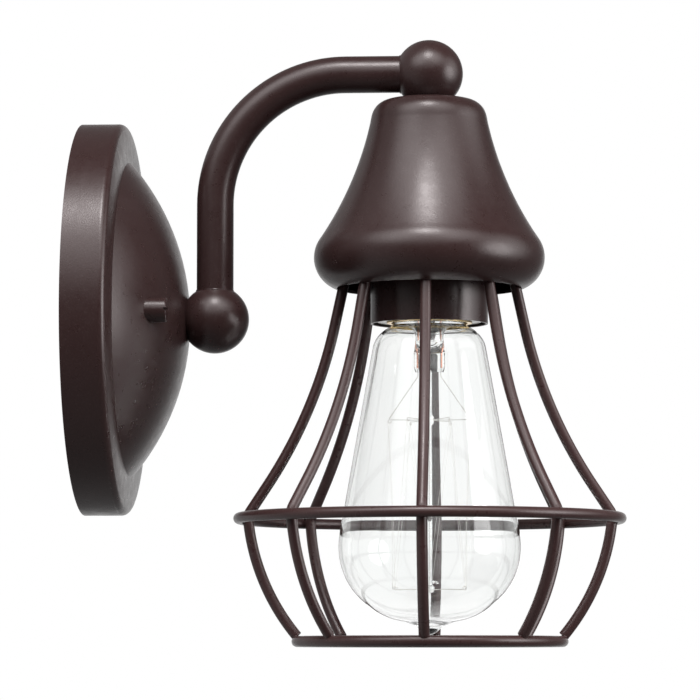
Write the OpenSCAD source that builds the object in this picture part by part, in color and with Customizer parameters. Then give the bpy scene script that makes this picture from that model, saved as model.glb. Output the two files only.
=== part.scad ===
// Wall sconce with a bent pipe arm, a bell cap, a round wire cage and a clear filament bulb.
// Millimetres. The wall is the plane X = 0, +X points out into the room and +Z points up.
// The origin is the centre of the mounting plate on the wall.

/* [Canopy] */
// Outside diameter of the canopy
canopy_d = 138; // [120:1:160]
// Radius of the rounded front corner of the canopy
canopy_corner_r = 2.5; // [1.5:0.1:5]
// Radius of curvature of the band between that corner and the dome
canopy_band_r = 42; // [25:1:60]
// Radius at which the band is highest
canopy_crest_r = 58.5; // [57.6:0.1:60]
// Height of the band's crest over the wall
canopy_crest_h = 16.2; // [15.2:0.1:18]
// Sheet thickness of the canopy
canopy_wall = 1; // [0.6:0.1:1.5]
// Spherical radius of the dome
dome_r = 85; // [80:0.5:92]
// Distance of the dome's crown from the wall
dome_reach = 36.8; // [34:0.1:38.5]

/* [Wall fixing] */
// Thickness of the mounting plate
plate_t = 1.6; // [1.2:0.1:2.5]
// Width of each arm of the mounting plate
plate_w = 16; // [12:1:20]
// Distance between the box screws at the closest
box_screw_near = 69.85; // [64:0.05:72]
// Distance between the box screws at the widest
box_screw_far = 88.9; // [84:0.1:92]
// Width of the slots for the box screws
box_slot_w = 4.6; // [4.2:0.1:5.4]
// Distance between the two canopy studs
stud_spacing = 76.2; // [68:0.1:80]
// Diameter of the canopy studs
stud_d = 4.1; // [3.5:0.1:5]
// Outside diameter of the barrel nuts
barrel_d = 8.4; // [7.5:0.1:10]
// Distance of the barrel nuts' outer ends from the wall
barrel_reach = 33.2; // [32:0.2:37]

/* [Arm] */
// Diameter of the two balls
ball_d = 24; // [22:0.5:28]
// Distance from the lower ball's centre to the dome's crown
lower_seat = 9.2; // [7.5:0.1:10]
// Distance from the upper ball's centre to its seat on the cap
upper_seat = 9.2; // [7.5:0.1:9.5]
// Outside diameter of the arm's pipe
tube_d = 13; // [12:0.1:14]
// Wall thickness of the arm's pipe
tube_wall = 1.5; // [1:0.1:1.8]
// Depth that the pipe goes into each ball
tube_seat = 4; // [3:0.1:5]
// Centre-line radius of the bend
bend_r = 46; // [35:1:60]
// Height of the arm's upper run over the canopy's centre
arm_rise = 86.6; // [80:0.2:95]
// Distance of the lamp's axis from the wall
head_reach = 121.6; // [115:0.2:140]

/* [Hollow screws] */
// Outside diameter of the hollow threaded pipes
nipple_d = 9.9; // [9.5:0.1:10.3]
// Bore of the hollow threaded pipes
nipple_bore = 6.7; // [6.6:0.1:7.2]

/* [Cap] */
// Height of the bell cap from its mouth to its flat top
cap_h = 66.9; // [64:0.1:72]
// Sheet thickness of the bell cap
cap_wall = 1.2; // [0.8:0.1:1.5]
// Radius of the cap where its rounded shoulder begins to flare
cap_shoulder_r = 20.5; // [18.5:0.1:22]
// Corner radius of the shoulder
cap_corner_r = 7; // [3.5:0.1:8]
// Height of the ridge between flare and lip over the mouth
cap_ridge_h = 18.2; // [17.5:0.1:19]
// Radius of the cap at that ridge
cap_ridge_r = 38; // [37:0.1:39]
// Radius of curvature of the hollow flare
cap_flare_r = 120; // [105:1:200]
// Radius of curvature of the bulging lip
cap_lip_r = 11.5; // [11.2:0.1:12.5]
// Radius of the open mouth
cap_mouth_r = 32.5; // [32:0.1:32.6]

/* [Cage] */
// Diameter of the cage's wire
wire_d = 3.8; // [3.2:0.1:4.2]
// Centre-line radius of the middle ring
middle_ring_r = 66.8; // [64:0.1:72]
// Drop of the middle ring below the cap's flat top
middle_ring_drop = 147.7; // [142:0.1:154]
// Centre-line radius of the bottom ring
bottom_ring_r = 46.4; // [44:0.1:50]
// Distance that the rib ends stand outside the bottom ring's centre line
rib_overhang = 0.1; // [0:0.1:1]
// Depth that the rib ends reach below the bottom ring's crest
rib_bite = 0.1; // [0:0.1:1]
// Drop of the bottom ring below the middle ring
bottom_ring_drop = 42.9; // [41:0.1:44]
// Depth that each rib is pressed into the middle ring by its weld
weld_depth = 0.7; // [0.2:0.1:1]
// Lean of the ribs from the vertical inside the cap
rib_lean_top = 12.4; // [11.5:0.1:13]
// Lean of the ribs from the vertical just above the middle ring
rib_lean_knee = 33.5; // [32:0.1:35]
// Inward lean of the ribs from the vertical just below the middle ring
rib_lean_below = 6; // [3:0.5:11]
// Centre-line radius of the hollow upper curve of a rib
rib_upper_r = 165; // [160:1:172]
// Centre-line radius of the bend at the middle ring
rib_knee_r = 5; // [4:0.1:6]

/* [Lampholder] */
// Outside diameter of the socket cover
cover_d = 41.2; // [40:0.1:41.8]
// Sheet thickness of the socket cover
cover_wall = 0.8; // [0.6:0.1:1.2]
// Height of the socket cover
cover_h = 48.5; // [47:0.5:50]
// Drop of the socket cover's lower edge below the cap's flat top
cover_drop = 79.4; // [78:0.1:82]
// Outside diameter of the lampholder's body
holder_d = 36.4; // [34:0.1:37.4]
// Length of the brass screw shell
shell_h = 29; // [28:0.1:30]
// Sheet thickness of the screw shell
shell_wall = 0.4; // [0.3:0.1:0.6]

/* [Bulb] */
// Overall length of the bulb from its contact to the tip of its glass
bulb_len = 140; // [132:1:144]
// Largest diameter of the bulb's glass
bulb_d = 64; // [58:1:68]
// Radius of curvature of the glass where it is widest
bulb_side_r = 26.5; // [22:0.1:28]
// Radius of curvature of the glass's lower end
bulb_end_r = 60; // [50:1:70]
// Slope of the glass cone, as radius lost for each millimetre of height
bulb_slope = 0.18; // [0.16:0.01:0.2]
// Outside diameter of the bulb's screw base
base_d = 26.3; // [26:0.1:26.5]
// Length of the bulb's screw base
base_h = 25; // [24:0.5:26]
// Thickness of the bulb's glass
glass_wall = 0.8; // [0.6:0.1:1.2]
// Radius of the ring of hooks that carries the filament
hook_r = 14.6; // [12:0.1:16]
// Number of hooks at each end of the filament
hooks = 6; // [4:2:8]

/* [Leads] */
// Diameter of the insulated leads
lead_d = 2.2; // [1.6:0.1:2.4]
// Length of lead that hangs inside the canopy
lead_tail = 14; // [8:1:18]

/* [Hidden] */
$fn = 72;

// Clearances and small sizes that several pieces share
thread_fit = 0.02;
slide_fit = 0.05;
base_fit = 0.1;
past = 1;
bar_hole_fit = 0.3;
ribs = 8;
rib_mouth_gap = 0.1;
cage_weld_depth = 0.8;

bronze = [0.24, 0.20, 0.19];
steel = [0.75, 0.76, 0.77];
brass = [0.80, 0.65, 0.30];
copper = [0.72, 0.45, 0.30];
glass = [0.85, 0.90, 0.92, 0.35];

// Canopy: centres of the band's curve and of the corner's, which meets it smoothly, as [radius, height]
canopy_r = canopy_d / 2;
band_at = [canopy_crest_r, canopy_crest_h - canopy_band_r];
corner_out = canopy_r - canopy_corner_r - canopy_crest_r;
corner_at = band_at + [corner_out, sqrt(pow(canopy_band_r - canopy_corner_r, 2) - corner_out * corner_out)];
corner_way = (corner_at - band_at) / norm(corner_at - band_at);
dome_x = dome_reach - dome_r;
function dome_inside_at(r) = dome_x + sqrt(pow(dome_r - canopy_wall, 2) - r * r);

// Wall fixing
plate_tip = 7;
plate_hole_r = nipple_d / 2 + bar_hole_fit;
stud_r = stud_d / 2;
stud_y = stud_spacing / 2;
barrel_end_wall = 4;
stud_len = barrel_reach - barrel_end_wall;
stud_nut_flats = 8.7;
stud_nut_h = 3.2;
barrel_neck_wall = 0.9;
barrel_neck_r = stud_r + barrel_neck_wall;
barrel_neck_len = 4;
barrel_neck_x = dome_inside_at(stud_y) - barrel_neck_len;
ground_screw_z = 15;
ground_screw_r = 2;
ground_head_r = 4.5;
ground_head_h = 2.4;

// Arm: centres of the balls and of the bend
ball_r = ball_d / 2;
tube_r = tube_d / 2;
tube_bore_r = tube_r - tube_wall;
arm_x = dome_reach + lower_seat;
cap_top = arm_rise - upper_seat;
ball_chord = sqrt(ball_r * ball_r - tube_r * tube_r);
tube_end = ball_chord - tube_seat;
wire_turn_r = 5;

// Hollow screws
nipple_r = nipple_d / 2;
bore_r = nipple_bore / 2;
nut_flats = 14;
nut_h = 4;
washer_r = 8;
washer_t = 1.2;
lower_washer_x = dome_inside_at(washer_r) - washer_t;
lower_nut_x = lower_washer_x - nut_h;
nipple_tail = 4;
lower_nipple_x = lower_nut_x - nipple_tail;

// Cap: measured down from its flat top, as [radius, height]
cap_mouth = cap_top - cap_h;
cap_ridge = [cap_ridge_r, cap_mouth + cap_ridge_h];
cap_shoulder = [cap_shoulder_r, cap_top - cap_corner_r];
cap_lip_cut = 0.6;
cap_lip_centre_h = cap_lip_r - cap_lip_cut;
lip_rise = cap_ridge_h - cap_lip_centre_h;
cap_lip_at = [cap_ridge_r - sqrt(cap_lip_r * cap_lip_r - lip_rise * lip_rise), cap_mouth + cap_lip_centre_h];

// Centre of the circle of radius r through p and q that lies to the right of the way from p to q
function arc_centre(p, q, r) =
    let (d = q - p, len = norm(d), side = [-d[1], d[0]] / len)
    (p + q) / 2 + side * sqrt(r * r - len * len / 4);

// Lampholder and socket cover, from the cover's lower edge upward
cover_r = cover_d / 2;
cover_edge = cap_top - cover_drop;
cover_top = cover_edge + cover_h;
cover_corner_r = 3;
cage_plate_t = 1.6;
cage_plate_z = cover_top;
holder_washer_t = 1;
holder_washer_z = cover_top - cover_wall - holder_washer_t;
holder_nut_z = holder_washer_z - nut_h;
bracket_t = 1.5;
bracket_z = holder_nut_z - bracket_t;
nipple_foot = bracket_z - past;
flange_t = 0.5;
flange_r = 15;
shell_rise = 0.2;
shell_z = cover_edge + shell_rise;
shell_r = base_d / 2 + base_fit;
holder_z = shell_z + flange_t;
shell_headroom = 2.8;
floor_z = shell_z + shell_h + shell_headroom;
floor_t = 3;
holder_top = floor_z + floor_t;
holder_r = holder_d / 2;
bracket_leg_x = 7.5;
bracket_w = 12;
bracket_foot = 7.5;
screw_hole_depth = 2.4;
bracket_screw_out = 4.6;
bracket_screw_x = bracket_leg_x + bracket_screw_out;
bracket_screw_r = 1.5;
bracket_head_r = 2.6;
bracket_head_h = 1.8;
terminal_y = 11;
terminal_r = 1.75;
terminal_head_r = 3.4;
terminal_head_h = 1.8;
contact_t = 0.7;
contact_len = 13;
contact_w = 5;
rivet_r = 1.2;
rivet_head_r = 1.9;
rivet_head_h = 0.5;

// Cage: the rib's path runs in the plane of radius and height, from the cap plate down to the bottom ring
wire_r = wire_d / 2;
middle_z = cap_top - middle_ring_drop;
bottom_z = middle_z - bottom_ring_drop;
// The bend at the middle ring touches it with its outermost point
knee_centre = [middle_ring_r - wire_d + weld_depth - rib_knee_r, middle_z];
knee_start = knee_centre + rib_knee_r * outer_side(rib_lean_knee);
knee_end = knee_centre + rib_knee_r * outer_side(-rib_lean_below);
// The upper line passes just inside the cap's mouth and meets the line down to the bend at a corner,
// which the upper curve rounds off
mouth_at = [cap_mouth_r - wire_r / cos(rib_lean_top) - rib_mouth_gap, cap_mouth];
corner_drop = (knee_start[0] - mouth_at[0] - tan(rib_lean_knee) * (mouth_at[1] - knee_start[1]))
    / (tan(rib_lean_top) - tan(rib_lean_knee));
upper_corner = mouth_at + [tan(rib_lean_top), -1] * corner_drop;
upper_tangent = rib_upper_r * tan((rib_lean_knee - rib_lean_top) / 2);
curve_start = upper_corner - upper_tangent * down(rib_lean_top);
rib_top = cage_plate_z + cage_plate_t;
rib_top_r = mouth_at[0] - (rib_top - mouth_at[1]) * tan(rib_lean_top);
// The belly is the circle that leaves the bend smoothly and ends on the bottom ring
rib_end = [bottom_ring_r + rib_overhang, bottom_z + wire_r - rib_bite];
belly_span = rib_end - knee_end;
rib_lower_r = -belly_span * belly_span / (2 * belly_span * outer_side(-rib_lean_below));
belly_lean = asin(sin(rib_lean_below) + (knee_end[1] - rib_end[1]) / rib_lower_r);
upper_centre = curve_start + rib_upper_r * outer_side(rib_lean_top);
belly_centre = knee_end - rib_lower_r * outer_side(-rib_lean_below);
// The path's stations from the cap plate down, each as [[radius, height], lean]
rib_sides = 16;
rib_path = concat(
    [[[rib_top_r, rib_top], rib_lean_top]],
    [for (a = [0:0.125:1]) let (lean = rib_lean_top + a * (rib_lean_knee - rib_lean_top))
        [upper_centre - rib_upper_r * outer_side(lean), lean]],
    [for (a = [0:0.125:1]) let (lean = rib_lean_knee - a * (rib_lean_knee + rib_lean_below))
        [knee_centre + rib_knee_r * outer_side(lean), lean]],
    [for (a = [0.1:0.1:1]) let (lean = -rib_lean_below - a * (belly_lean - rib_lean_below))
        [belly_centre + rib_lower_r * outer_side(lean), lean]]
);
cage_plate_r = rib_top_r - wire_r / cos(rib_lean_top) + cage_weld_depth;

// Way down along a wire that leans outward by a degrees, and the way square to it, outward
function down(a) = [sin(a), -cos(a)];
function outer_side(a) = [cos(a), sin(a)];

// Bulb, from its contact down; heights are absolute
contact_top = floor_z - contact_t - base_fit;
bulb_tip = contact_top - bulb_len;
contact_h = 1;
contact_r = 4.8;
insulator_h = 2.2;
base_top = contact_top - contact_h - insulator_h;
base_foot = base_top - base_h;
base_wall = 0.4;
base_r = base_d / 2;
neck_r = base_r - base_wall - slide_fit;
neck_seat = 5;
neck_top = base_foot + neck_seat;
bulb_r = bulb_d / 2;
exhaust_h = 3.8;
exhaust_r = 6.5;
exhaust_tip_r = 0.9;
// The lower end is round about end_z and meets the curve about the belly's centre smoothly
end_z = bulb_tip + exhaust_h + bulb_end_r;
// The glass that was drawn out to the tip leaves the round end at this height, in the middle of its wall
exhaust_root_z = end_z - sqrt(pow(bulb_end_r - glass_wall / 2, 2) - exhaust_r * exhaust_r);
belly_out = bulb_r - bulb_side_r;
belly_at = [belly_out, end_z - sqrt(pow(bulb_end_r - bulb_side_r, 2) - belly_out * belly_out)];
belly_way = (belly_at - [0, end_z]) / norm(belly_at - [0, end_z]);
cone_angle = atan(bulb_slope);
cone_foot = belly_at + bulb_side_r * outer_side(cone_angle);
shoulder_r = 9.6;
shoulder_drop = 8.5;
shoulder_z = cover_edge - shoulder_drop;
shoulder_at = [cone_r(shoulder_z) - shoulder_r * cos(cone_angle), shoulder_z - shoulder_r * sin(cone_angle)];
function cone_r(z) = cone_foot[0] - bulb_slope * (z - cone_foot[1]);
flare_t = 1;
flare_rise = 3;
flare_z = cover_edge + flare_rise;
flare_drop = 6;
stem_len = 11;
press_z = flare_z - stem_len;
press_h = 9;
press_w = 11;
press_d = 4;
stem_r = 5.2;
rod_r = 0.9;
button_r = 1.6;
upper_hooks_drop = 16.7;
lower_hooks_rise = 15.6;
upper_hooks_z = press_z - press_h - upper_hooks_drop;
lower_hooks_z = bulb_tip + lower_hooks_rise;
hook_wire_r = 0.25;
filament_r = 0.12;
bulb_lead_r = 0.3;
bulb_lead_x = 4;

// Leads
lead_r = lead_d / 2;
lead_y = bore_r - lead_r - slide_fit;
lead_turn_r = 2.5;
lead_end_z = holder_top + lead_r;
tail_turn_r = 5;
ground_r = 0.9;
ground_turn_r = 4;

// Shared shapes

// Puts a shape that was drawn upward from the origin along +X instead
module outward(x = 0, y = 0, z = 0) {
    translate([x, y, z]) rotate([0, 90, 0]) children();
}

module at_head(z = 0) {
    translate([head_reach, 0, z]) children();
}

module hexagon(flats, h) {
    cylinder(r = flats / 2 / cos(30), h = h, $fn = 6);
}

module pipe(r, bore, h) {
    linear_extrude(h) difference() {
        circle(r);
        circle(bore);
    }
}

// Round bar or pipe bent in the XZ plane about a centre, between two angles measured from +X to +Z
module bend(centre, r, from, to, bar_r, bore = 0) {
    translate([centre[0], 0, centre[1]]) rotate([90, 0, 0]) rotate([0, 0, from])
        rotate_extrude(angle = to - from) translate([r, 0]) difference() {
            circle(bar_r);
            if (bore > 0) circle(bore);
        }
}

// Straight round bar in the XZ plane from p to q
module bar(p, q, bar_r) {
    d = q - p;
    translate([p[0], 0, p[1]]) rotate([0, atan2(d[0], d[1]), 0]) cylinder(r = bar_r, h = norm(d));
}

module hoop(r, z, bar_r) {
    at_head(z) rotate_extrude() translate([r, 0]) circle(bar_r);
}

module nut(hole_r) {
    difference() {
        hexagon(nut_flats, nut_h);
        translate([0, 0, -past]) cylinder(r = hole_r, h = nut_h + 2 * past);
    }
}

module at_studs() {
    for (side = [-1, 1]) translate([0, side * stud_y, 0]) children();
}

// Wall side

// Half section of the canopy: its outer face, or the face one sheet thickness inside it
module canopy_face(inset) {
    r = canopy_corner_r - inset;
    base = inset > 0 ? -past : 0;
    translate([0, base]) square([canopy_r - inset, corner_at[1] - base]);
    translate(corner_at) circle(r);
    translate([0, base]) square([canopy_crest_r, canopy_crest_h - inset - base]);
    intersection() {
        translate(band_at) circle(canopy_band_r - inset, $fn = 360);
        translate([0, corner_at[1]])
            square([corner_at[0] + r * corner_way[0], canopy_crest_h - corner_at[1]]);
    }
    intersection() {
        translate([0, dome_x]) circle(dome_r - inset, $fn = 360);
        square([canopy_crest_r, dome_reach]);
    }
}

module canopy() {
    color(bronze) difference() {
        outward() rotate_extrude($fn = 144) intersection() {
            difference() {
                canopy_face(0);
                canopy_face(canopy_wall);
            }
            square([canopy_r, dome_reach]);
        }
        outward() cylinder(r = nipple_r + slide_fit, h = dome_reach + past);
        at_studs() outward() cylinder(r = barrel_neck_r + slide_fit, h = dome_reach);
    }
}

module mounting_plate() {
    arm_z = box_screw_far / 2 + plate_tip;
    arm_y = stud_y + plate_tip;
    color(steel) difference() {
        union() {
            translate([0, -plate_w / 2, -arm_z]) cube([plate_t, plate_w, 2 * arm_z]);
            translate([0, -arm_y, -plate_w / 2]) cube([plate_t, 2 * arm_y, plate_w]);
        }
        outward(-past) cylinder(r = plate_hole_r, h = plate_t + 2 * past);
        at_studs() outward(-past) cylinder(r = stud_r + thread_fit, h = plate_t + 2 * past);
        outward(-past, 0, -ground_screw_z) cylinder(r = ground_screw_r + thread_fit, h = plate_t + 2 * past);
        for (side = [-1, 1]) translate([-past, 0, side * (box_screw_near + box_screw_far) / 4]) {
            slot_run = (box_screw_far - box_screw_near) / 2;
            translate([0, -box_slot_w / 2, -slot_run / 2]) cube([plate_t + 2 * past, box_slot_w, slot_run]);
            for (end = [-1, 1]) outward(0, 0, end * slot_run / 2)
                cylinder(r = box_slot_w / 2, h = plate_t + 2 * past);
        }
    }
}

module canopy_studs() {
    color(steel) at_studs() outward() cylinder(r = stud_r, h = stud_len);
}

module stud_lock_nuts() {
    color(steel) at_studs() outward(plate_t) difference() {
        hexagon(stud_nut_flats, stud_nut_h);
        translate([0, 0, -past]) cylinder(r = stud_r + thread_fit, h = stud_nut_h + 2 * past);
    }
}

module barrel_nuts() {
    barrel_r = barrel_d / 2;
    barrel_len = barrel_reach - barrel_neck_x;
    rounding = 0.8;
    slot_w = 1.2;
    slot_depth = 1;
    color(bronze) difference() {
        union() {
            difference() {
                at_studs() outward(barrel_neck_x) rotate_extrude() {
                    square([barrel_r, barrel_len - rounding]);
                    square([barrel_r - rounding, barrel_len]);
                    translate([barrel_r - rounding, barrel_len - rounding]) circle(rounding);
                }
                translate([dome_x, 0, 0]) sphere(dome_r, $fn = 180);
            }
            at_studs() outward(barrel_neck_x) cylinder(r = barrel_neck_r, h = barrel_len - past);
        }
        at_studs() outward() cylinder(r = stud_r + thread_fit, h = stud_len + slide_fit);
        at_studs() translate([barrel_reach - slot_depth, -barrel_d, -slot_w / 2])
            cube([slot_depth + past, 2 * barrel_d, slot_w]);
    }
}

module ground_screw() {
    color([0.25, 0.55, 0.30]) translate([0, 0, -ground_screw_z]) {
        outward() cylinder(r = ground_screw_r, h = plate_t + past);
        outward(plate_t) difference() {
            hexagon(2 * ground_head_r * cos(30), ground_head_h);
            translate([-ground_head_r, -0.5, ground_head_h - 0.9]) cube([2 * ground_head_r, 1, past]);
        }
    }
}

// Arm

module lower_nipple() {
    color(steel) outward(lower_nipple_x)
        pipe(nipple_r, bore_r, arm_x - wire_turn_r - lower_nipple_x);
}

module lower_washer() {
    color(steel) outward(lower_washer_x) pipe(washer_r, nipple_r + slide_fit, washer_t);
}

module lower_nut() {
    color(steel) outward(lower_nut_x) nut(nipple_r + thread_fit);
}

// The lower ball's seat is hollowed to lie on the dome
module lower_ball() {
    color(bronze) difference() {
        outward(arm_x) rotate_extrude($fn = 96) difference() {
            intersection() {
                circle(ball_r, $fn = 96);
                translate([0, -ball_r]) square([ball_r, ball_d]);
            }
            translate([0, dome_x - arm_x]) circle(dome_r, $fn = 360);
        }
        outward(dome_reach - ball_r) cylinder(r = nipple_r + thread_fit, h = ball_r + lower_seat);
        translate([arm_x, 0, -tube_bore_r]) cylinder(r = tube_bore_r, h = ball_r);
        translate([arm_x, 0, tube_end]) cylinder(r = tube_r + slide_fit, h = ball_r);
    }
}

module arm_tube() {
    bend_x = arm_x + bend_r;
    bend_z = arm_rise - bend_r;
    color(bronze) {
        translate([arm_x, 0, tube_end]) pipe(tube_r, tube_bore_r, bend_z - tube_end);
        bend([bend_x, bend_z], bend_r, 90, 180, tube_r, tube_bore_r);
        outward(bend_x, 0, arm_rise) pipe(tube_r, tube_bore_r, head_reach - tube_end - bend_x);
    }
}

module upper_ball() {
    color(bronze) difference() {
        at_head(arm_rise) sphere(ball_r, $fn = 96);
        at_head(cap_top - ball_d) translate([-ball_r, -ball_r, 0]) cube([ball_d, ball_d, ball_d]);
        at_head(arm_rise - ball_r) cylinder(r = nipple_r + thread_fit, h = ball_r);
        outward(head_reach - ball_r, 0, arm_rise) cylinder(r = tube_bore_r, h = ball_r + tube_bore_r);
        outward(head_reach - ball_r - past, 0, arm_rise)
            cylinder(r = tube_r + slide_fit, h = ball_r + past - tube_end);
    }
}

module upper_nipple() {
    color(steel) at_head(nipple_foot) pipe(nipple_r, bore_r, arm_rise - wire_turn_r - nipple_foot);
}

// Cap

// Half section of the cap: its outer face, or the face one sheet thickness inside it
module cap_face(inset) {
    foot = inset > 0 ? cap_mouth - past : cap_mouth;
    translate([cap_shoulder_r - cap_corner_r, cap_top - cap_corner_r]) circle(cap_corner_r - inset);
    translate([0, cap_ridge[1]]) square([cap_shoulder_r - cap_corner_r, cap_top - inset - cap_ridge[1]]);
    difference() {
        translate([0, cap_ridge[1]]) square([cap_ridge_r, cap_shoulder[1] - cap_ridge[1]]);
        translate(arc_centre(cap_shoulder, cap_ridge, cap_flare_r)) circle(cap_flare_r + inset, $fn = 360);
    }
    translate([0, foot]) square([inset > 0 ? cap_mouth_r : cap_lip_at[0], cap_ridge[1] - foot]);
    intersection() {
        translate(cap_lip_at) circle(cap_lip_r - inset);
        translate([0, cap_mouth]) square([cap_lip_at[0] + cap_lip_r, cap_ridge[1] - cap_mouth]);
    }
}

module cap() {
    color(bronze) difference() {
        at_head() rotate_extrude($fn = 120) difference() {
            cap_face(0);
            cap_face(cap_wall);
        }
        at_head(cap_top - cap_wall - past) cylinder(r = nipple_r + slide_fit, h = cap_wall + 2 * past);
    }
}

module spacer_tube() {
    low = cage_plate_z + cage_plate_t;
    color(steel) at_head(low) pipe(tube_r, nipple_r + slide_fit, cap_top - cap_wall - low);
}

// Cage

// A rib's wire as one closed tube: a ring of points at each station of its path. Its outermost side is
// flat where it lies against the middle ring
module rib_wire() {
    face_r = middle_ring_r - wire_r - slide_fit;
    count = len(rib_path);
    points = [for (i = [0:count - 1], k = [0:rib_sides - 1])
        let (
            lean = rib_path[i][1],
            turn = 360 * k / rib_sides,
            at = rib_path[i][0] + wire_r * cos(turn) * outer_side(lean)
        )
        [min(at[0], face_r), wire_r * sin(turn), at[1]]];
    sides = [for (i = [0:count - 2], k = [0:rib_sides - 1])
        let (a = i * rib_sides, b = a + rib_sides, n = (k + 1) % rib_sides)
        [a + k, a + n, b + n, b + k]];
    top_end = [for (k = [rib_sides - 1:-1:0]) k];
    foot_end = [for (k = [0:rib_sides - 1]) (count - 1) * rib_sides + k];
    polyhedron(points, concat(sides, [top_end, foot_end]), convexity = 6);
}

// Each rib is coped over the bottom ring
module cage_rib(number) {
    color(bronze) at_head() rotate([0, 0, (number - 1) * 360 / ribs]) difference() {
        rib_wire();
        translate([bottom_ring_r, 2 * wire_d, bottom_z]) rotate([90, 0, 0])
            cylinder(r = wire_r + slide_fit, h = 4 * wire_d);
    }
}

module cage_middle_ring() {
    color(bronze) hoop(middle_ring_r, middle_z, wire_r);
}

module cage_bottom_ring() {
    color(bronze) hoop(bottom_ring_r, bottom_z, wire_r);
}

module cage_plate() {
    color(bronze) difference() {
        at_head(cage_plate_z) pipe(cage_plate_r, nipple_r + slide_fit, cage_plate_t);
        for (i = [1:ribs]) at_head() rotate([0, 0, (i - 1) * 360 / ribs])
            bar([rib_top_r, rib_top] + down(rib_lean_top) * -wire_d, curve_start, wire_r);
    }
}

// Lampholder

module cover_face(inset) {
    r = cover_r - inset;
    foot = inset > 0 ? cover_edge - past : cover_edge;
    translate([0, foot]) square([r, cover_top - cover_corner_r - foot]);
    translate([0, foot]) square([cover_r - cover_corner_r, cover_top - inset - foot]);
    translate([cover_r - cover_corner_r, cover_top - cover_corner_r]) circle(cover_corner_r - inset);
}

module socket_cover() {
    color(bronze) difference() {
        at_head() rotate_extrude($fn = 96) difference() {
            cover_face(0);
            cover_face(cover_wall);
        }
        at_head(cover_top - past - cover_wall) cylinder(r = nipple_r + slide_fit, h = 2 * past + cover_wall);
    }
}

module holder_washer() {
    color(steel) at_head(holder_washer_z) pipe(washer_r + 2, nipple_r + slide_fit, holder_washer_t);
}

module holder_nut() {
    color(steel) at_head(holder_nut_z) nut(nipple_r + thread_fit);
}

module holder_bracket() {
    leg_h = bracket_z - holder_top;
    width = bracket_leg_x + bracket_t;
    color(steel) at_head() difference() {
        union() {
            translate([-width, -bracket_w / 2, bracket_z]) cube([2 * width, bracket_w, bracket_t]);
            for (turn = [0, 180]) rotate([0, 0, turn]) {
                translate([bracket_leg_x, -bracket_w / 2, holder_top]) cube([bracket_t, bracket_w, leg_h]);
                translate([bracket_leg_x, -bracket_w / 2, holder_top])
                    cube([bracket_foot, bracket_w, bracket_t]);
            }
        }
        translate([0, 0, bracket_z - past]) cylinder(r = nipple_r + thread_fit, h = bracket_t + 2 * past);
        for (side = [-1, 1]) translate([side * bracket_screw_x, 0, holder_top - past])
            cylinder(r = bracket_screw_r + slide_fit, h = bracket_t + 2 * past);
    }
}

// Pan-head screw that stands on a face at height z, with its shank below
module pan_screw(z, r, head_r, head_h, shank) {
    translate([0, 0, z - shank]) cylinder(r = r, h = shank + head_h / 2);
    translate([0, 0, z]) difference() {
        cylinder(r = head_r, h = head_h);
        translate([-head_r, -0.4, head_h - 0.7]) cube([2 * head_r, 0.8, past]);
    }
}

module bracket_screws() {
    color(steel) at_head() for (side = [-1, 1]) translate([side * bracket_screw_x, 0, 0])
        pan_screw(holder_top + bracket_t, bracket_screw_r, bracket_head_r, bracket_head_h,
            bracket_t + screw_hole_depth);
}

module holder_body() {
    color([0.90, 0.89, 0.85]) at_head() difference() {
        translate([0, 0, holder_z]) cylinder(r = holder_r, h = holder_top - holder_z);
        translate([0, 0, holder_z - past])
            cylinder(r = shell_r + shell_wall + slide_fit, h = floor_z - holder_z + past);
        translate([0, 0, floor_z - past]) cylinder(r = rivet_r + slide_fit, h = floor_t + 2 * past);
        for (side = [-1, 1]) {
            translate([side * bracket_screw_x, 0, holder_top - screw_hole_depth])
                cylinder(r = bracket_screw_r + thread_fit, h = screw_hole_depth + past);
            translate([0, side * terminal_y, holder_top - screw_hole_depth])
                cylinder(r = terminal_r + thread_fit, h = screw_hole_depth + past);
        }
    }
}

module screw_shell() {
    color(brass) at_head(shell_z) {
        pipe(shell_r + shell_wall, shell_r, shell_h);
        pipe(flange_r, shell_r, flange_t);
    }
}

module centre_contact() {
    color(brass) at_head() {
        translate([-contact_len / 2, -contact_w / 2, floor_z - contact_t])
            cube([contact_len, contact_w, contact_t]);
        translate([0, 0, floor_z - contact_t / 2]) cylinder(r = rivet_r, h = floor_t + contact_t / 2);
        translate([0, 0, holder_top]) cylinder(r = rivet_head_r, h = rivet_head_h);
    }
}

module terminal_screws() {
    color(brass) at_head() for (side = [-1, 1]) translate([0, side * terminal_y, 0])
        pan_screw(holder_top + lead_d + slide_fit, terminal_r, terminal_head_r, terminal_head_h,
            lead_d + slide_fit + screw_hole_depth);
}

// Leads

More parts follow.
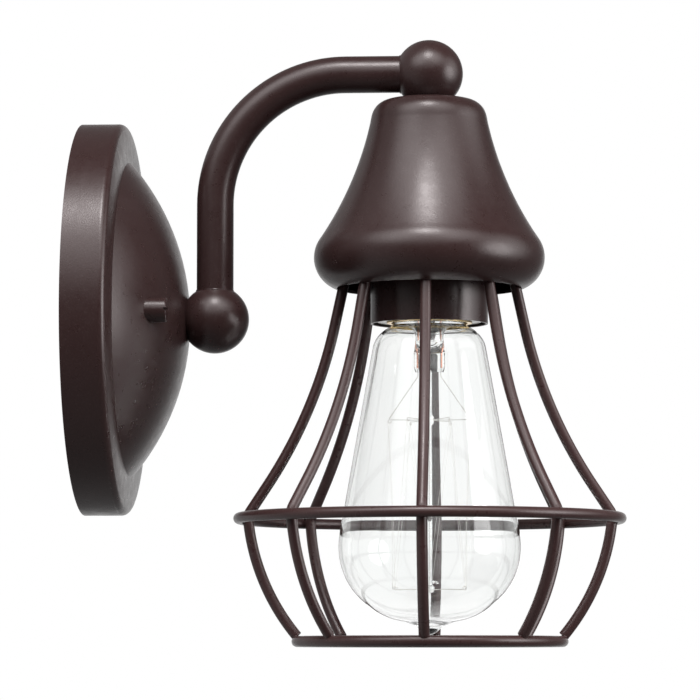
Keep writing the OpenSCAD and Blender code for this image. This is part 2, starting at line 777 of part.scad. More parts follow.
// One lead from its tail in the canopy, through both balls and the arm, down to its terminal
module lead() {
    bend_x = arm_x + bend_r;
    bend_z = arm_rise - bend_r;
    tail_x = lower_nipple_x - 2;
    translate([0, lead_y, 0]) {
        translate([tail_x - tail_turn_r, 0, -tail_turn_r - lead_tail]) cylinder(r = lead_r, h = lead_tail);
        bend([tail_x, -tail_turn_r], tail_turn_r, 90, 180, lead_r);
        outward(tail_x) cylinder(r = lead_r, h = arm_x - wire_turn_r - tail_x);
        bend([arm_x - wire_turn_r, wire_turn_r], wire_turn_r, 270, 360, lead_r);
        translate([arm_x, 0, wire_turn_r]) cylinder(r = lead_r, h = bend_z - wire_turn_r);
        bend([bend_x, bend_z], bend_r, 90, 180, lead_r);
        outward(bend_x, 0, arm_rise) cylinder(r = lead_r, h = head_reach - wire_turn_r - bend_x);
        bend([head_reach - wire_turn_r, arm_rise - wire_turn_r], wire_turn_r, 0, 90, lead_r);
        at_head(lead_end_z + lead_turn_r)
            cylinder(r = lead_r, h = arm_rise - wire_turn_r - lead_end_z - lead_turn_r);
    }
    at_head(lead_end_z + lead_turn_r) translate([0, lead_y + lead_turn_r, 0])
        rotate([90, 0, 90]) rotate([0, 0, 180]) rotate_extrude(angle = 90) translate([lead_turn_r, 0])
            circle(lead_r);
    at_head(lead_end_z) translate([0, lead_y + lead_turn_r, 0]) rotate([-90, 0, 0])
        cylinder(r = lead_r, h = terminal_y - terminal_r - slide_fit - lead_y - lead_turn_r);
}

module lead_black() {
    color([0.10, 0.10, 0.10]) lead();
}

module lead_white() {
    color([0.92, 0.92, 0.90]) mirror([0, 1, 0]) lead();
}

// Ground wire from the ground screw out to the nut behind the dome
module ground_wire() {
    start_x = plate_t + ground_head_h;
    nut_side = nut_flats / 2;
    out_x = lower_nut_x + nut_h / 2;
    color([0.25, 0.55, 0.30]) {
        outward(start_x, 0, -ground_screw_z) cylinder(r = ground_r, h = out_x - ground_turn_r - start_x);
        bend([out_x - ground_turn_r, ground_turn_r - ground_screw_z], ground_turn_r, 270, 360, ground_r);
        translate([out_x, 0, ground_turn_r - ground_screw_z])
            cylinder(r = ground_r, h = ground_screw_z - ground_turn_r - nut_side / cos(30) - slide_fit);
    }
}

// Bulb

// Half section of the glass: its outer face, or the face one glass thickness inside it
module glass_face(inset) {
    lost = inset / cos(cone_angle);
    top = inset > 0 ? neck_top + past : neck_top;
    side_r = bulb_side_r - inset;
    translate(belly_at) circle(side_r, $fn = 144);
    intersection() {
        translate([0, end_z]) circle(bulb_end_r - inset, $fn = 180);
        translate([0, bulb_tip]) square([belly_at[0] + side_r * belly_way[0], belly_at[1] - bulb_tip]);
    }
    polygon([
        [0, belly_at[1]], belly_at, belly_at + side_r * outer_side(cone_angle),
        [cone_r(shoulder_z) - lost, shoulder_z], [0, shoulder_z],
    ]);
    translate(shoulder_at) circle(shoulder_r - inset);
    translate([0, shoulder_at[1]]) square([shoulder_at[0], shoulder_r - inset]);
    translate([0, shoulder_at[1]]) square([neck_r - inset, top - shoulder_at[1]]);
}

module bulb_glass() {
    color(glass) at_head() rotate_extrude($fn = 120) intersection() {
        union() {
            difference() {
                glass_face(0);
                glass_face(glass_wall);
            }
            polygon([
                [0, bulb_tip + exhaust_tip_r], [exhaust_tip_r, bulb_tip + exhaust_tip_r],
                [exhaust_r / 2, bulb_tip + exhaust_h / 2], [exhaust_r, exhaust_root_z],
                [0, bulb_tip + exhaust_h + glass_wall / 2],
            ]);
            translate([0, bulb_tip + exhaust_tip_r]) circle(exhaust_tip_r);
        }
        translate([0, bulb_tip - past]) square([bulb_d, bulb_len + past]);
    }
}

module bulb_base() {
    color(brass) at_head(base_foot) pipe(base_r, base_r - base_wall, base_h);
}

module bulb_insulator() {
    color([0.08, 0.08, 0.08]) at_head() rotate_extrude() polygon([
        [0, base_top - past], [base_r - base_wall - slide_fit, base_top - past],
        [base_r - base_wall - slide_fit, base_top], [contact_r + past, contact_top - contact_h],
        [0, contact_top - contact_h],
    ]);
}

module bulb_contact() {
    color([0.80, 0.80, 0.80]) at_head(contact_top - contact_h) rotate_extrude() intersection() {
        translate([0, contact_h - 2 * contact_r]) circle(2 * contact_r, $fn = 360);
        square([contact_r, contact_h]);
    }
}

module bulb_stem() {
    flare_r = neck_r - glass_wall - slide_fit;
    color(glass) difference() {
        union() {
            at_head(flare_z) rotate_extrude() polygon([
                [0, flare_t], [flare_r, flare_t], [flare_r, 0], [stem_r, -flare_drop], [stem_r, press_z - flare_z],
                [0, press_z - flare_z],
            ]);
            at_head(press_z - press_h) translate([-press_w / 2, -press_d / 2, 0])
                cube([press_w, press_d, press_h + past]);
            at_head(lower_hooks_z) cylinder(r = rod_r, h = press_z - lower_hooks_z);
            for (z = [upper_hooks_z, lower_hooks_z]) at_head(z) sphere(button_r);
        }
        for (side = [-1, 1]) at_head(press_z - press_h - past) translate([side * bulb_lead_x, 0, 0])
            cylinder(r = bulb_lead_r + thread_fit, h = flare_z + flare_t + 2 * past - press_z + press_h);
    }
}

module bulb_leads() {
    foot = press_z - press_h - 10 * bulb_lead_r;
    color(copper) for (side = [-1, 1]) {
        at_head(foot) translate([side * bulb_lead_x, 0, 0])
            cylinder(r = bulb_lead_r, h = base_top - past - foot);
        translate([head_reach, 0, 0]) bar([side * bulb_lead_x, foot + bulb_lead_r],
            [side * (hook_r - hook_wire_r), upper_hooks_z + hook_wire_r + bulb_lead_r],
            bulb_lead_r - slide_fit);
    }
}

module hook_spokes(z, turn) {
    at_head(z) for (i = [0:hooks - 1]) rotate([0, 0, turn + i * 360 / hooks])
        outward(button_r - slide_fit) cylinder(r = hook_wire_r, h = hook_r - button_r);
}

module filament_hooks() {
    color(steel) {
        hook_spokes(upper_hooks_z, 0);
        hook_spokes(lower_hooks_z, 180 / hooks);
    }
}

// Strands that run from each upper hook to the two lower hooks beside it
module filament() {
    high = upper_hooks_z - hook_wire_r - filament_r;
    low = lower_hooks_z + hook_wire_r + filament_r;
    function at(turn, z) = [hook_r * cos(turn), hook_r * sin(turn), z];
    color([0.55, 0.50, 0.45]) at_head() for (i = [0:2 * hooks - 1]) {
        p = at((i + i % 2) * 180 / hooks, high);
        q = at((i + 1 - i % 2) * 180 / hooks, low);
        d = q - p;
        translate(p) rotate([0, acos(d[2] / norm(d)), atan2(d[1], d[0])])
            translate([0, 0, past / 4]) cylinder(r = filament_r, h = norm(d) - past / 2);
    }
}

canopy();
mounting_plate();
canopy_studs();
stud_lock_nuts();
barrel_nuts();
ground_screw();
lower_nipple();
lower_washer();
lower_nut();
lower_ball();
arm_tube();
upper_ball();
upper_nipple();
cap();
spacer_tube();
cage_plate();
for (i = [1:ribs]) cage_rib(i);
cage_middle_ring();
cage_bottom_ring();
socket_cover();
holder_washer();
holder_nut();
holder_bracket();
bracket_screws();
holder_body();
screw_shell();
centre_contact();
terminal_screws();
lead_black();
lead_white();
ground_wire();
bulb_glass();
bulb_base();
bulb_insulator();
bulb_contact();
bulb_stem();
bulb_leads();
filament_hooks();
filament();
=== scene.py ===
"""Looks of the wall sconce: finer pieces, materials, camera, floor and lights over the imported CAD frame.

Lengths in the shape code are millimetres, as in the CAD, and become metres when a mesh is made.
"""
import math

import bmesh
import bpy
from mathutils import Matrix, Vector, noise


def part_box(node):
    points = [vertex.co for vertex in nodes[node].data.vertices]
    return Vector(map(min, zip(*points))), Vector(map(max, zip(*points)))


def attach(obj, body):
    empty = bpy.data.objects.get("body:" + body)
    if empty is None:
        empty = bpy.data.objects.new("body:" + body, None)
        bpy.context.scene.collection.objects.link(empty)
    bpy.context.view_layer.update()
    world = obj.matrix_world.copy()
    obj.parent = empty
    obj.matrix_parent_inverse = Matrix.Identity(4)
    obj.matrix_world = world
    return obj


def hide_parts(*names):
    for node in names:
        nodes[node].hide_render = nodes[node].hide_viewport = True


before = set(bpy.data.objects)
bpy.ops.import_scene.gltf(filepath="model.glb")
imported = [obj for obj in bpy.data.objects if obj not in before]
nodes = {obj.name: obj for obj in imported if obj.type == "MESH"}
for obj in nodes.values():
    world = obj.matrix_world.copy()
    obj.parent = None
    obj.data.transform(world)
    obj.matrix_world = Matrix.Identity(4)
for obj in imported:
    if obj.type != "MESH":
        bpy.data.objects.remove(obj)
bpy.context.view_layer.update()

MM = 0.001
TAU = 2 * math.pi


def node_box(node):
    """Lowest and highest corner of a CAD node in millimetres, to the nearest tenth."""
    return [[round(c / MM, 1) for c in corner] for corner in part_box(node)]


def middle(node, axis):
    low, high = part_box(node)
    return round((low[axis] + high[axis]) / 2 / MM, 1)


def half_width(node, axis):
    low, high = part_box(node)
    return round((high[axis] - low[axis]) / 2 / MM, 1)


X, Y, Z = 0, 1, 2
HEAD = middle("upper_nipple", X)
TUBE_R = half_width("arm_tube", Y)
BALL_R = half_width("lower_ball", Y)
ARM_X = round(node_box("lower_ball")[1][X] - BALL_R, 1)
ARM_Z = round(node_box("upper_ball")[1][Z] - BALL_R, 1)
CAP_MOUTH, CAP_TOP = (corner[Z] for corner in node_box("cap"))
WIRE_R = half_width("cage_middle_ring", Z)
MIDDLE_R = round(half_width("cage_middle_ring", Y) - WIRE_R, 1)
MIDDLE_Z = middle("cage_middle_ring", Z)
BOTTOM_R = round(half_width("cage_bottom_ring", Y) - WIRE_R, 1)
BOTTOM_Z = middle("cage_bottom_ring", Z)
RIB_TOP = node_box("cage_plate")[1][Z]
PLATE_T = node_box("mounting_plate")[1][X]
STUD_LENGTH, STUD_Y = node_box("canopy_studs")[1][X], 38.1
TIP = node_box("bulb_glass")[0][Z]
BULB_R = half_width("bulb_glass", Y)

# Shapes


def arc(centre, r, start, stop, steps=16):
    """Points of an arc about centre, from one angle in degrees to another."""
    turns = [math.radians(start + (stop - start) * k / steps) for k in range(steps + 1)]
    return [(centre[0] + r * math.cos(t), centre[1] + r * math.sin(t)) for t in turns]


def rounded(corners, closed=True):
    """Polyline through corners given as (x, y) or (x, y, fillet radius)."""
    out = []
    count = len(corners)
    for i, corner in enumerate(corners):
        here = Vector(corner[:2])
        r = corner[2] if len(corner) > 2 else 0
        if r <= 0 or (not closed and i in (0, count - 1)):
            out.append(tuple(here))
            continue
        a = (Vector(corners[i - 1][:2]) - here).normalized()
        b = (Vector(corners[(i + 1) % count][:2]) - here).normalized()
        half = a.angle(b) / 2
        centre = here + (a + b).normalized() * (r / math.sin(half))
        first = here + a * (r / math.tan(half)) - centre
        last = here + b * (r / math.tan(half)) - centre
        turn = math.atan2(first.x * last.y - first.y * last.x, first.dot(last))
        steps = max(3, int(abs(math.degrees(turn)) / 9))
        for k in range(steps + 1):
            t = turn * k / steps
            out.append((centre.x + first.x * math.cos(t) - first.y * math.sin(t),
                        centre.y + first.x * math.sin(t) + first.y * math.cos(t)))
    return out


def revolve(profile, sides=96):
    """Closed solid of revolution about Z from a loop of (radius, height); points on the axis become poles."""
    verts, faces, rings = [], [], []
    for r, h in profile:
        if r < 1e-6:
            rings.append([len(verts)])
            verts.append((0, 0, h))
        else:
            rings.append(list(range(len(verts), len(verts) + sides)))
            verts += [(r * math.cos(TAU * k / sides), r * math.sin(TAU * k / sides), h) for k in range(sides)]
    for a, b in zip(rings, rings[1:] + rings[:1]):
        for k in range(sides):
            n = (k + 1) % sides
            if len(a) > 1 and len(b) > 1:
                faces.append((a[k], a[n], b[n], b[k]))
            elif len(a) > 1:
                faces.append((a[k], a[n], b[0]))
            elif len(b) > 1:
                faces.append((a[0], b[n], b[k]))
    return verts, faces


def sweep(path, radius, sides=20, loop=False, bevel=0.0):
    """Round bar along a path of (x, y, z); radius is a number or a list. bevel rounds the two ends."""
    points = [Vector(p) for p in path]
    count = len(points)
    radii = list(radius) if hasattr(radius, "__len__") else [radius] * count
    ways = []
    for i in range(count):
        ahead = points[(i + 1) % count] if loop or i < count - 1 else points[i]
        behind = points[i - 1] if loop or i > 0 else points[i]
        ways.append((ahead - behind).normalized())
    side = ways[0].orthogonal().normalized()
    sides_at = [side]
    for i in range(1, count):
        side = ways[i - 1].rotation_difference(ways[i]) @ side
        side = (side - ways[i] * side.dot(ways[i])).normalized()
        sides_at.append(side)
    if bevel and not loop:
        for end, step in ((0, 1), (-1, -1)):
            way, at, r, s = ways[end] * step, points[end], radii[end], sides_at[end]
            extra = [(at + way * bevel * (1 - math.cos(a)), r - bevel * (1 - math.sin(a)))
                     for a in (0.0, 0.55, 1.05)]
            inner = at + way * bevel
            if step > 0:
                points = [p for p, _ in extra] + [inner] + points[1:]
                radii = [q for _, q in extra] + [r] + radii[1:]
                ways = [ways[0]] * 4 + ways[1:]
                sides_at = [s] * 4 + sides_at[1:]
            else:
                points = points[:-1] + [inner] + [p for p, _ in reversed(extra)]
                radii = radii[:-1] + [r] + [q for _, q in reversed(extra)]
                ways = ways[:-1] + [ways[-1]] * 4
                sides_at = sides_at[:-1] + [s] * 4
        count = len(points)
    verts, faces = [], []
    for at, r, way, side in zip(points, radii, ways, sides_at):
        up = way.cross(side)
        for k in range(sides):
            t = TAU * k / sides
            verts.append(tuple(at + side * (r * math.cos(t)) + up * (r * math.sin(t))))
    for i in range(count if loop else count - 1):
        a, b = i * sides, ((i + 1) % count) * sides
        faces += [(a + k, a + (k + 1) % sides, b + (k + 1) % sides, b + k) for k in range(sides)]
    if not loop:
        faces.append(tuple(reversed(range(sides))))
        faces.append(tuple(range((count - 1) * sides, count * sides)))
    return verts, faces


def thread(r, depth, pitch, low, high, bore=0.0, sides=40, per_turn=6):
    """Right-handed screw thread about Z that runs out over a pitch at both ends; bore makes it a pipe."""
    rows = max(6, int((high - low) / pitch * per_turn))
    verts, faces = [], []
    for i in range(rows + 1):
        z = low + (high - low) * i / rows
        run_out = min(1.0, (z - low) / pitch, (high - z) / pitch)
        for k in range(sides):
            wave = abs(2 * ((z / pitch - k / sides) % 1.0) - 1)
            q = r - depth + depth * wave * run_out
            verts.append((q * math.cos(TAU * k / sides), q * math.sin(TAU * k / sides), z))
    for i in range(rows):
        a, b = i * sides, (i + 1) * sides
        faces += [(a + k, a + (k + 1) % sides, b + (k + 1) % sides, b + k) for k in range(sides)]
    top = rows * sides
    if bore:
        for z in (low, high):
            verts += [(bore * math.cos(TAU * k / sides), bore * math.sin(TAU * k / sides), z)
                      for k in range(sides)]
        a, b = (rows + 1) * sides, (rows + 2) * sides
        for k in range(sides):
            n = (k + 1) % sides
            faces += [(k, a + k, a + n, n), (top + k, top + n, b + n, b + k), (a + k, b + k, b + n, a + n)]
    else:
        faces += [tuple(reversed(range(sides))), tuple(range(top, top + sides))]
    return verts, faces


def hex_nut(flats, height, hole, sides=72):
    """Hexagon nut on Z = 0 with both faces turned off at the corners and a countersunk hole."""
    verts, faces = [], []
    face_r = flats / 2 * 0.97
    sink_r, sink_d = hole + 0.45, 0.5
    for k in range(sides):
        t = TAU * k / sides
        r = flats / 2 / math.cos((t + TAU / 12) % (TAU / 6) - TAU / 12)
        cut = (r - face_r) * math.tan(math.radians(28))
        for q, z in ((hole, sink_d), (sink_r, 0), (face_r, 0), (r, cut), (r, height - cut),
                     (face_r, height), (sink_r, height), (hole, height - sink_d)):
            verts.append((q * math.cos(t), q * math.sin(t), z))
    for k in range(sides):
        n = (k + 1) % sides
        faces += [(8 * k + j, 8 * n + j, 8 * n + (j + 1) % 8, 8 * k + (j + 1) % 8) for j in range(8)]
    return verts, faces


def nugget(at, size, seed, rough=0.18):
    """Small drop of weld metal: a ball pressed to size along X, Y and Z, with an uneven skin."""
    bm = bmesh.new()
    bmesh.ops.create_icosphere(bm, subdivisions=3, radius=1)
    verts = []
    for v in bm.verts:
        swell = 1 + rough * noise.noise(v.co * 1.7 + Vector((seed, seed * 0.37, 0)))
        verts.append(tuple(at[i] + v.co[i] * swell * size[i] for i in range(3)))
    faces = [tuple(v.index for v in f.verts) for f in bm.faces]
    bm.free()
    return verts, faces


def turned(shape, matrix):
    verts, faces = shape
    return [tuple(matrix @ Vector(v)) for v in verts], faces


def outward(shape, x=0, y=0, z=0):
    """Puts a shape drawn upward from the origin along +X instead."""
    return turned(shape, Matrix.Translation((x, y, z)) @ Matrix.Rotation(math.radians(90), 4, "Y"))


def at_head(shape, z=0):
    return turned(shape, Matrix.Translation((HEAD, 0, z)))


def piece(name, shapes, body, look, replaces=(), sharp=32):
    """One object of one or more shapes, which rides on a body and may stand for CAD nodes."""
    mesh = bpy.data.meshes.new(name)
    bm = bmesh.new()
    for verts, faces in shapes if isinstance(shapes, list) else [shapes]:
        made = [bm.verts.new([c * MM for c in v]) for v in verts]
        for f in faces:
            bm.faces.new([made[i] for i in f])
    bmesh.ops.recalc_face_normals(bm, faces=bm.faces)
    bm.to_mesh(mesh)
    bm.free()
    mesh.shade_smooth()
    mesh.set_sharp_from_angle(angle=math.radians(sharp))
    mesh.materials.append(look)
    obj = bpy.data.objects.new(name, mesh)
    bpy.context.scene.collection.objects.link(obj)
    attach(obj, body)
    if replaces:
        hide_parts(*replaces)
    return obj


# Materials


class Look:
    """A node material under construction; textures use object coordinates, in metres."""

    def __init__(self, name):
        self.material = bpy.data.materials.new(name)
        self.material.use_nodes = True
        tree = self.material.node_tree
        tree.nodes.clear()
        self.nodes, self.links = tree.nodes, tree.links
        self.out = self.nodes.new("ShaderNodeOutputMaterial")
        self.shader = self.nodes.new("ShaderNodeBsdfPrincipled")
        self.links.new(self.shader.outputs[0], self.out.inputs["Surface"])
        self.where = self.nodes.new("ShaderNodeTexCoord").outputs["Object"]

    def set(self, **values):
        for key, value in values.items():
            self.shader.inputs[key.replace("_", " ")].default_value = value
        return self

    def stretched(self, scale):
        node = self.nodes.new("ShaderNodeMapping")
        node.inputs["Scale"].default_value = scale
        self.links.new(self.where, node.inputs["Vector"])
        return node.outputs[0]

    def noise(self, scale, detail=3, rough=0.5, where=None):
        node = self.nodes.new("ShaderNodeTexNoise")
        node.inputs["Scale"].default_value = scale
        node.inputs["Detail"].default_value = detail
        node.inputs["Roughness"].default_value = rough
        self.links.new(where or self.where, node.inputs["Vector"])
        return node.outputs["Fac"]

    def span(self, value, low, high, start=0.35, stop=0.65):
        node = self.nodes.new("ShaderNodeMapRange")
        for key, number in (("From Min", start), ("From Max", stop), ("To Min", low), ("To Max", high)):
            node.inputs[key].default_value = number
        self.links.new(value, node.inputs["Value"])
        return node.outputs[0]

    def blend(self, value, first, second):
        node = self.nodes.new("ShaderNodeMix")
        node.data_type = "RGBA"
        self.links.new(value, node.inputs["Factor"])
        for key, colour in (("A", first), ("B", second)):
            socket = next(s for s in node.inputs if s.name == key and s.type == "RGBA")
            if isinstance(colour, tuple):
                socket.default_value = (*colour, 1)
            else:
                self.links.new(colour, socket)
        return next(s for s in node.outputs if s.type == "RGBA")

    def feed(self, key, value):
        self.links.new(value, self.shader.inputs[key])
        return self

    def bump(self, *layers):
        """Layers are (height socket, strength, depth in metres), coarse first."""
        normal = None
        for height, strength, depth in layers:
            node = self.nodes.new("ShaderNodeBump")
            node.inputs["Strength"].default_value = strength
            node.inputs["Distance"].default_value = depth
            self.links.new(height, node.inputs["Height"])
            if normal:
                self.links.new(normal, node.inputs["Normal"])
            normal = node.outputs[0]
        self.links.new(normal, self.shader.inputs["Normal"])
        return self


def bronze_look(name="oil_rubbed_bronze", tone=1.0):
    """Satin baked enamel: dark brown with a violet cast, slightly mottled, with a fine grain."""
    k = Look(name).set(IOR=1.5, Specular_Tint=(1.0, 0.94, 0.94, 1))
    shades = [tuple(c * tone for c in rgb) for rgb in
              ((0.0315, 0.0155, 0.0150), (0.0360, 0.0180, 0.0175), (0.0460, 0.0270, 0.0265))]
    cloud = k.span(k.noise(38, 4, 0.55), 0, 1, 0.3, 0.7)
    speck = k.span(k.noise(1500, 2, 0.6), 0, 1, 0.55, 0.75)
    k.feed("Base Color", k.blend(speck, k.blend(cloud, shades[0], shades[1]), shades[2]))
    k.feed("Roughness", k.span(k.noise(260, 4, 0.6), 0.27, 0.33))
    k.bump((k.noise(420, 2, 0.5), 0.10, 0.00012), (k.noise(2200, 2, 0.6), 0.3, 0.0001))
    return k.material


def metal_look(name, colour, dull, rough=(0.25, 0.45), scale=120, depth=0.00003):
    """Bare or plated metal with a mottled colour and faint working marks."""
    k = Look(name).set(Metallic=1.0)
    k.feed("Base Color", k.blend(k.span(k.noise(scale, 4, 0.6), 0, 1), dull, colour))
    k.feed("Roughness", k.span(k.noise(scale * 3, 3, 0.6), *rough))
    k.bump((k.noise(scale * 8, 3, 0.6), 0.3, depth))
    return k.material


def zinc_look():
    k = Look("zinc_plated_steel").set(Metallic=1.0)
    cloud = k.span(k.noise(60, 5, 0.65), 0, 1, 0.3, 0.7)
    k.feed("Base Color", k.blend(cloud, (0.53, 0.54, 0.55), (0.62, 0.62, 0.60)))
    rolled_marks = k.noise(1.0, 4, 0.7, k.stretched((260, 60, 2600)))
    k.feed("Roughness", k.span(rolled_marks, 0.24, 0.40))
    k.bump((k.noise(500, 3, 0.6), 0.2, 0.00006), (rolled_marks, 0.3, 0.00003))
    return k.material


def plastic_look(name, first, second, rough, scale=700, depth=0.00004, coat=0.0):
    k = Look(name).set(Coat_Weight=coat, Coat_Roughness=0.08)
    k.feed("Base Color", k.blend(k.span(k.noise(scale / 6, 3, 0.6), 0, 1), first, second))
    k.feed("Roughness", k.span(k.noise(scale / 3, 3, 0.5), rough - 0.06, rough + 0.06))
    k.bump((k.noise(scale, 2, 0.5), 0.2, depth))
    return k.material


def glass_look(name="clear_glass", wavy=0.00003):
    """Clear blown glass with faint drawn streaks down its wall."""
    k = Look(name).set(Transmission_Weight=1.0, IOR=1.47, Roughness=0.0)
    tint = k.span(k.noise(30, 2, 0.5), 0, 1)
    k.feed("Base Color", k.blend(tint, (0.975, 0.985, 0.980), (0.990, 0.995, 0.990)))
    streaks = k.noise(1.0, 3, 0.5, k.stretched((160, 160, 7)))
    k.bump((streaks, 0.35, wavy))
    return k.material


BRONZE = bronze_look()
# Painted light: a copy of the same bronze, 1.5 times lighter, for the cage wires and rings. It stands in for
# light the thin wires would catch.
WIRE_BRONZE_PAINTED_LIGHT = bronze_look("bronze_wire_painted_light", 1.5)
ZINC = zinc_look()
BRASS = metal_look("brass", (0.84, 0.62, 0.28), (0.70, 0.49, 0.20), (0.16, 0.34))
COPPER = metal_look("copper_wire", (0.82, 0.42, 0.30), (0.62, 0.28, 0.20), (0.2, 0.4), 400)
SOLDER = metal_look("solder", (0.62, 0.62, 0.62), (0.42, 0.42, 0.43), (0.25, 0.5), 260, 0.00008)
TUNGSTEN = metal_look("tungsten", (0.80, 0.78, 0.75), (0.66, 0.64, 0.61), (0.35, 0.5), 900)
GLASS = glass_look()
STEM_GLASS = glass_look("stem_glass", 0.00008)
BLACK_GLASS = plastic_look("black_glass", (0.010, 0.010, 0.012), (0.022, 0.020, 0.024), 0.18,
                           scale=500, depth=0.00006, coat=0.4)
HOLDER = plastic_look("lampholder", (0.74, 0.72, 0.67), (0.82, 0.80, 0.76), 0.30,
                      scale=500, depth=0.00003, coat=0.3)
BLACK_PVC = plastic_look("black_insulation", (0.012, 0.012, 0.013), (0.022, 0.022, 0.023), 0.42)
WHITE_PVC = plastic_look("white_insulation", (0.70, 0.70, 0.67), (0.80, 0.80, 0.77), 0.42)
GREEN_PVC = plastic_look("green_insulation", (0.020, 0.150, 0.045), (0.030, 0.200, 0.060), 0.42)
GREEN_ZINC = metal_look("green_screw", (0.10, 0.42, 0.20), (0.06, 0.30, 0.14), (0.25, 0.4), 300)

for finish, names in (
    (BRONZE, "canopy barrel_nuts lower_ball upper_ball arm_tube cage_plate socket_cover"),
    (WIRE_BRONZE_PAINTED_LIGHT, "cage_middle_ring cage_bottom_ring"),
    (ZINC, "mounting_plate lower_washer holder_washer holder_bracket bracket_screws spacer_tube "
           "upper_nipple"),
    (BRASS, "centre_contact terminal_screws"),
    (HOLDER, "holder_body"),
):
    for node_name in names.split():
        for material_slot in nodes[node_name].material_slots:
            material_slot.material = finish

# Arm and cap


def seam(at, turn, seed):
    """Uneven bead of enamelled weld where the pipe enters a ball."""
    ring_r, bead_r, uneven = TUBE_R - 0.05, 0.26, 0.22
    lift = math.sqrt(BALL_R ** 2 - TUBE_R ** 2)
    steps = 96
    path, radii = [], []
    for k in range(steps):
        t = TAU * k / steps
        wave = noise.noise(Vector((math.cos(t) * 2.2 + seed, math.sin(t) * 2.2, seed * 0.7)))
        path.append((ring_r * math.cos(t), ring_r * math.sin(t), lift + 0.1 * wave))
        radii.append(bead_r + uneven * wave)
    return turned(sweep(path, radii, 10, loop=True), Matrix.Translation(at) @ turn)


piece("lower_seam", seam((ARM_X, 0, 0), Matrix.Identity(4), 1.3), "fixture", BRONZE)
piece("upper_seam", seam((HEAD, 0, ARM_Z), Matrix.Rotation(math.radians(-90), 4, "Y"), 4.1),
      "fixture", BRONZE)

CAP_MOUTH_R, CAP_HOLE_R, CAP_WALL = 32.5, 5.1, 1.2
SHOULDER_R, CORNER_R, FLARE_R, LIP_R = 20.5, 7.0, 120.0, 11.5
RIDGE_R, RIDGE_H, LIP_CENTRE_H = 38.0, 18.2, 10.9


def softened(path, step=0.4, reach=4):
    """Polyline with evenly spaced points, each the mean of its neighbours, so that its bends become round."""
    points = [Vector(p) for p in path]
    even = [points[0]]
    for p, q in zip(points, points[1:]):
        count = max(1, round((q - p).length / step))
        even += [p.lerp(q, (k + 1) / count) for k in range(count)]
    last = len(even) - 1
    out = []
    for i in range(last + 1):
        near = min(reach, i, last - i)
        group = even[i - near:i + near + 1]
        out.append(sum(group, Vector((0, 0))) / len(group))
    return out


def cap_profile():
    """Loop of the bell cap's sheet: over its outside from the hole to the mouth and back along its inside."""
    shoulder = Vector((SHOULDER_R, CAP_TOP - CORNER_R))
    ridge = Vector((RIDGE_R, CAP_MOUTH + RIDGE_H))
    chord = ridge - shoulder
    outside = Vector((-chord.y, chord.x)).normalized()
    flare = (shoulder + ridge) / 2 + outside * math.sqrt(FLARE_R ** 2 - chord.length_squared / 4)
    first, last = ((p - flare) for p in (shoulder, ridge))
    rise = RIDGE_H - LIP_CENTRE_H
    lip = (RIDGE_R - math.sqrt(LIP_R ** 2 - rise ** 2), CAP_MOUTH + LIP_CENTRE_H)
    lip_start, lip_stop = (math.degrees(math.asin(h / LIP_R)) for h in (rise, -LIP_CENTRE_H))
    angles = [math.degrees(math.atan2(v.y, v.x)) % 360 for v in (first, last)]
    corner = (SHOULDER_R - CORNER_R, CAP_TOP - CORNER_R)
    outer = softened([(CAP_HOLE_R, CAP_TOP)] + arc(corner, CORNER_R, 90, 0, 20)
                     + arc(flare, FLARE_R, *angles, 40) + arc(lip, LIP_R, lip_start, lip_stop, 36))
    inner = []
    for i, p in enumerate(outer):
        way = outer[min(i + 1, len(outer) - 1)] - outer[max(i - 1, 0)]
        inner.append(p + Vector((way.y, -way.x)).normalized() * CAP_WALL)
    inner = [p for p in inner if p.x < CAP_MOUTH_R or p.y > CAP_MOUTH + 2]
    rim = [(CAP_MOUTH_R, CAP_MOUTH), (CAP_MOUTH_R, CAP_MOUTH + CAP_WALL)]
    return [tuple(p) for p in outer] + rim + [tuple(p) for p in reversed(inner)]


piece("bell_cap", at_head(revolve(cap_profile(), 160)), "fixture", BRONZE, ("cap",),
      sharp=50)

# Cage

RIBS = 8
LEAN_TOP, LEAN_KNEE, LEAN_BELOW = 12.4, 33.5, 6.0
UPPER_R, KNEE_R, WELD = 165.0, 5.0, 0.7
MOUTH_GAP, RIB_OVERHANG, RIB_BITE = 0.1, 0.1, 0.1


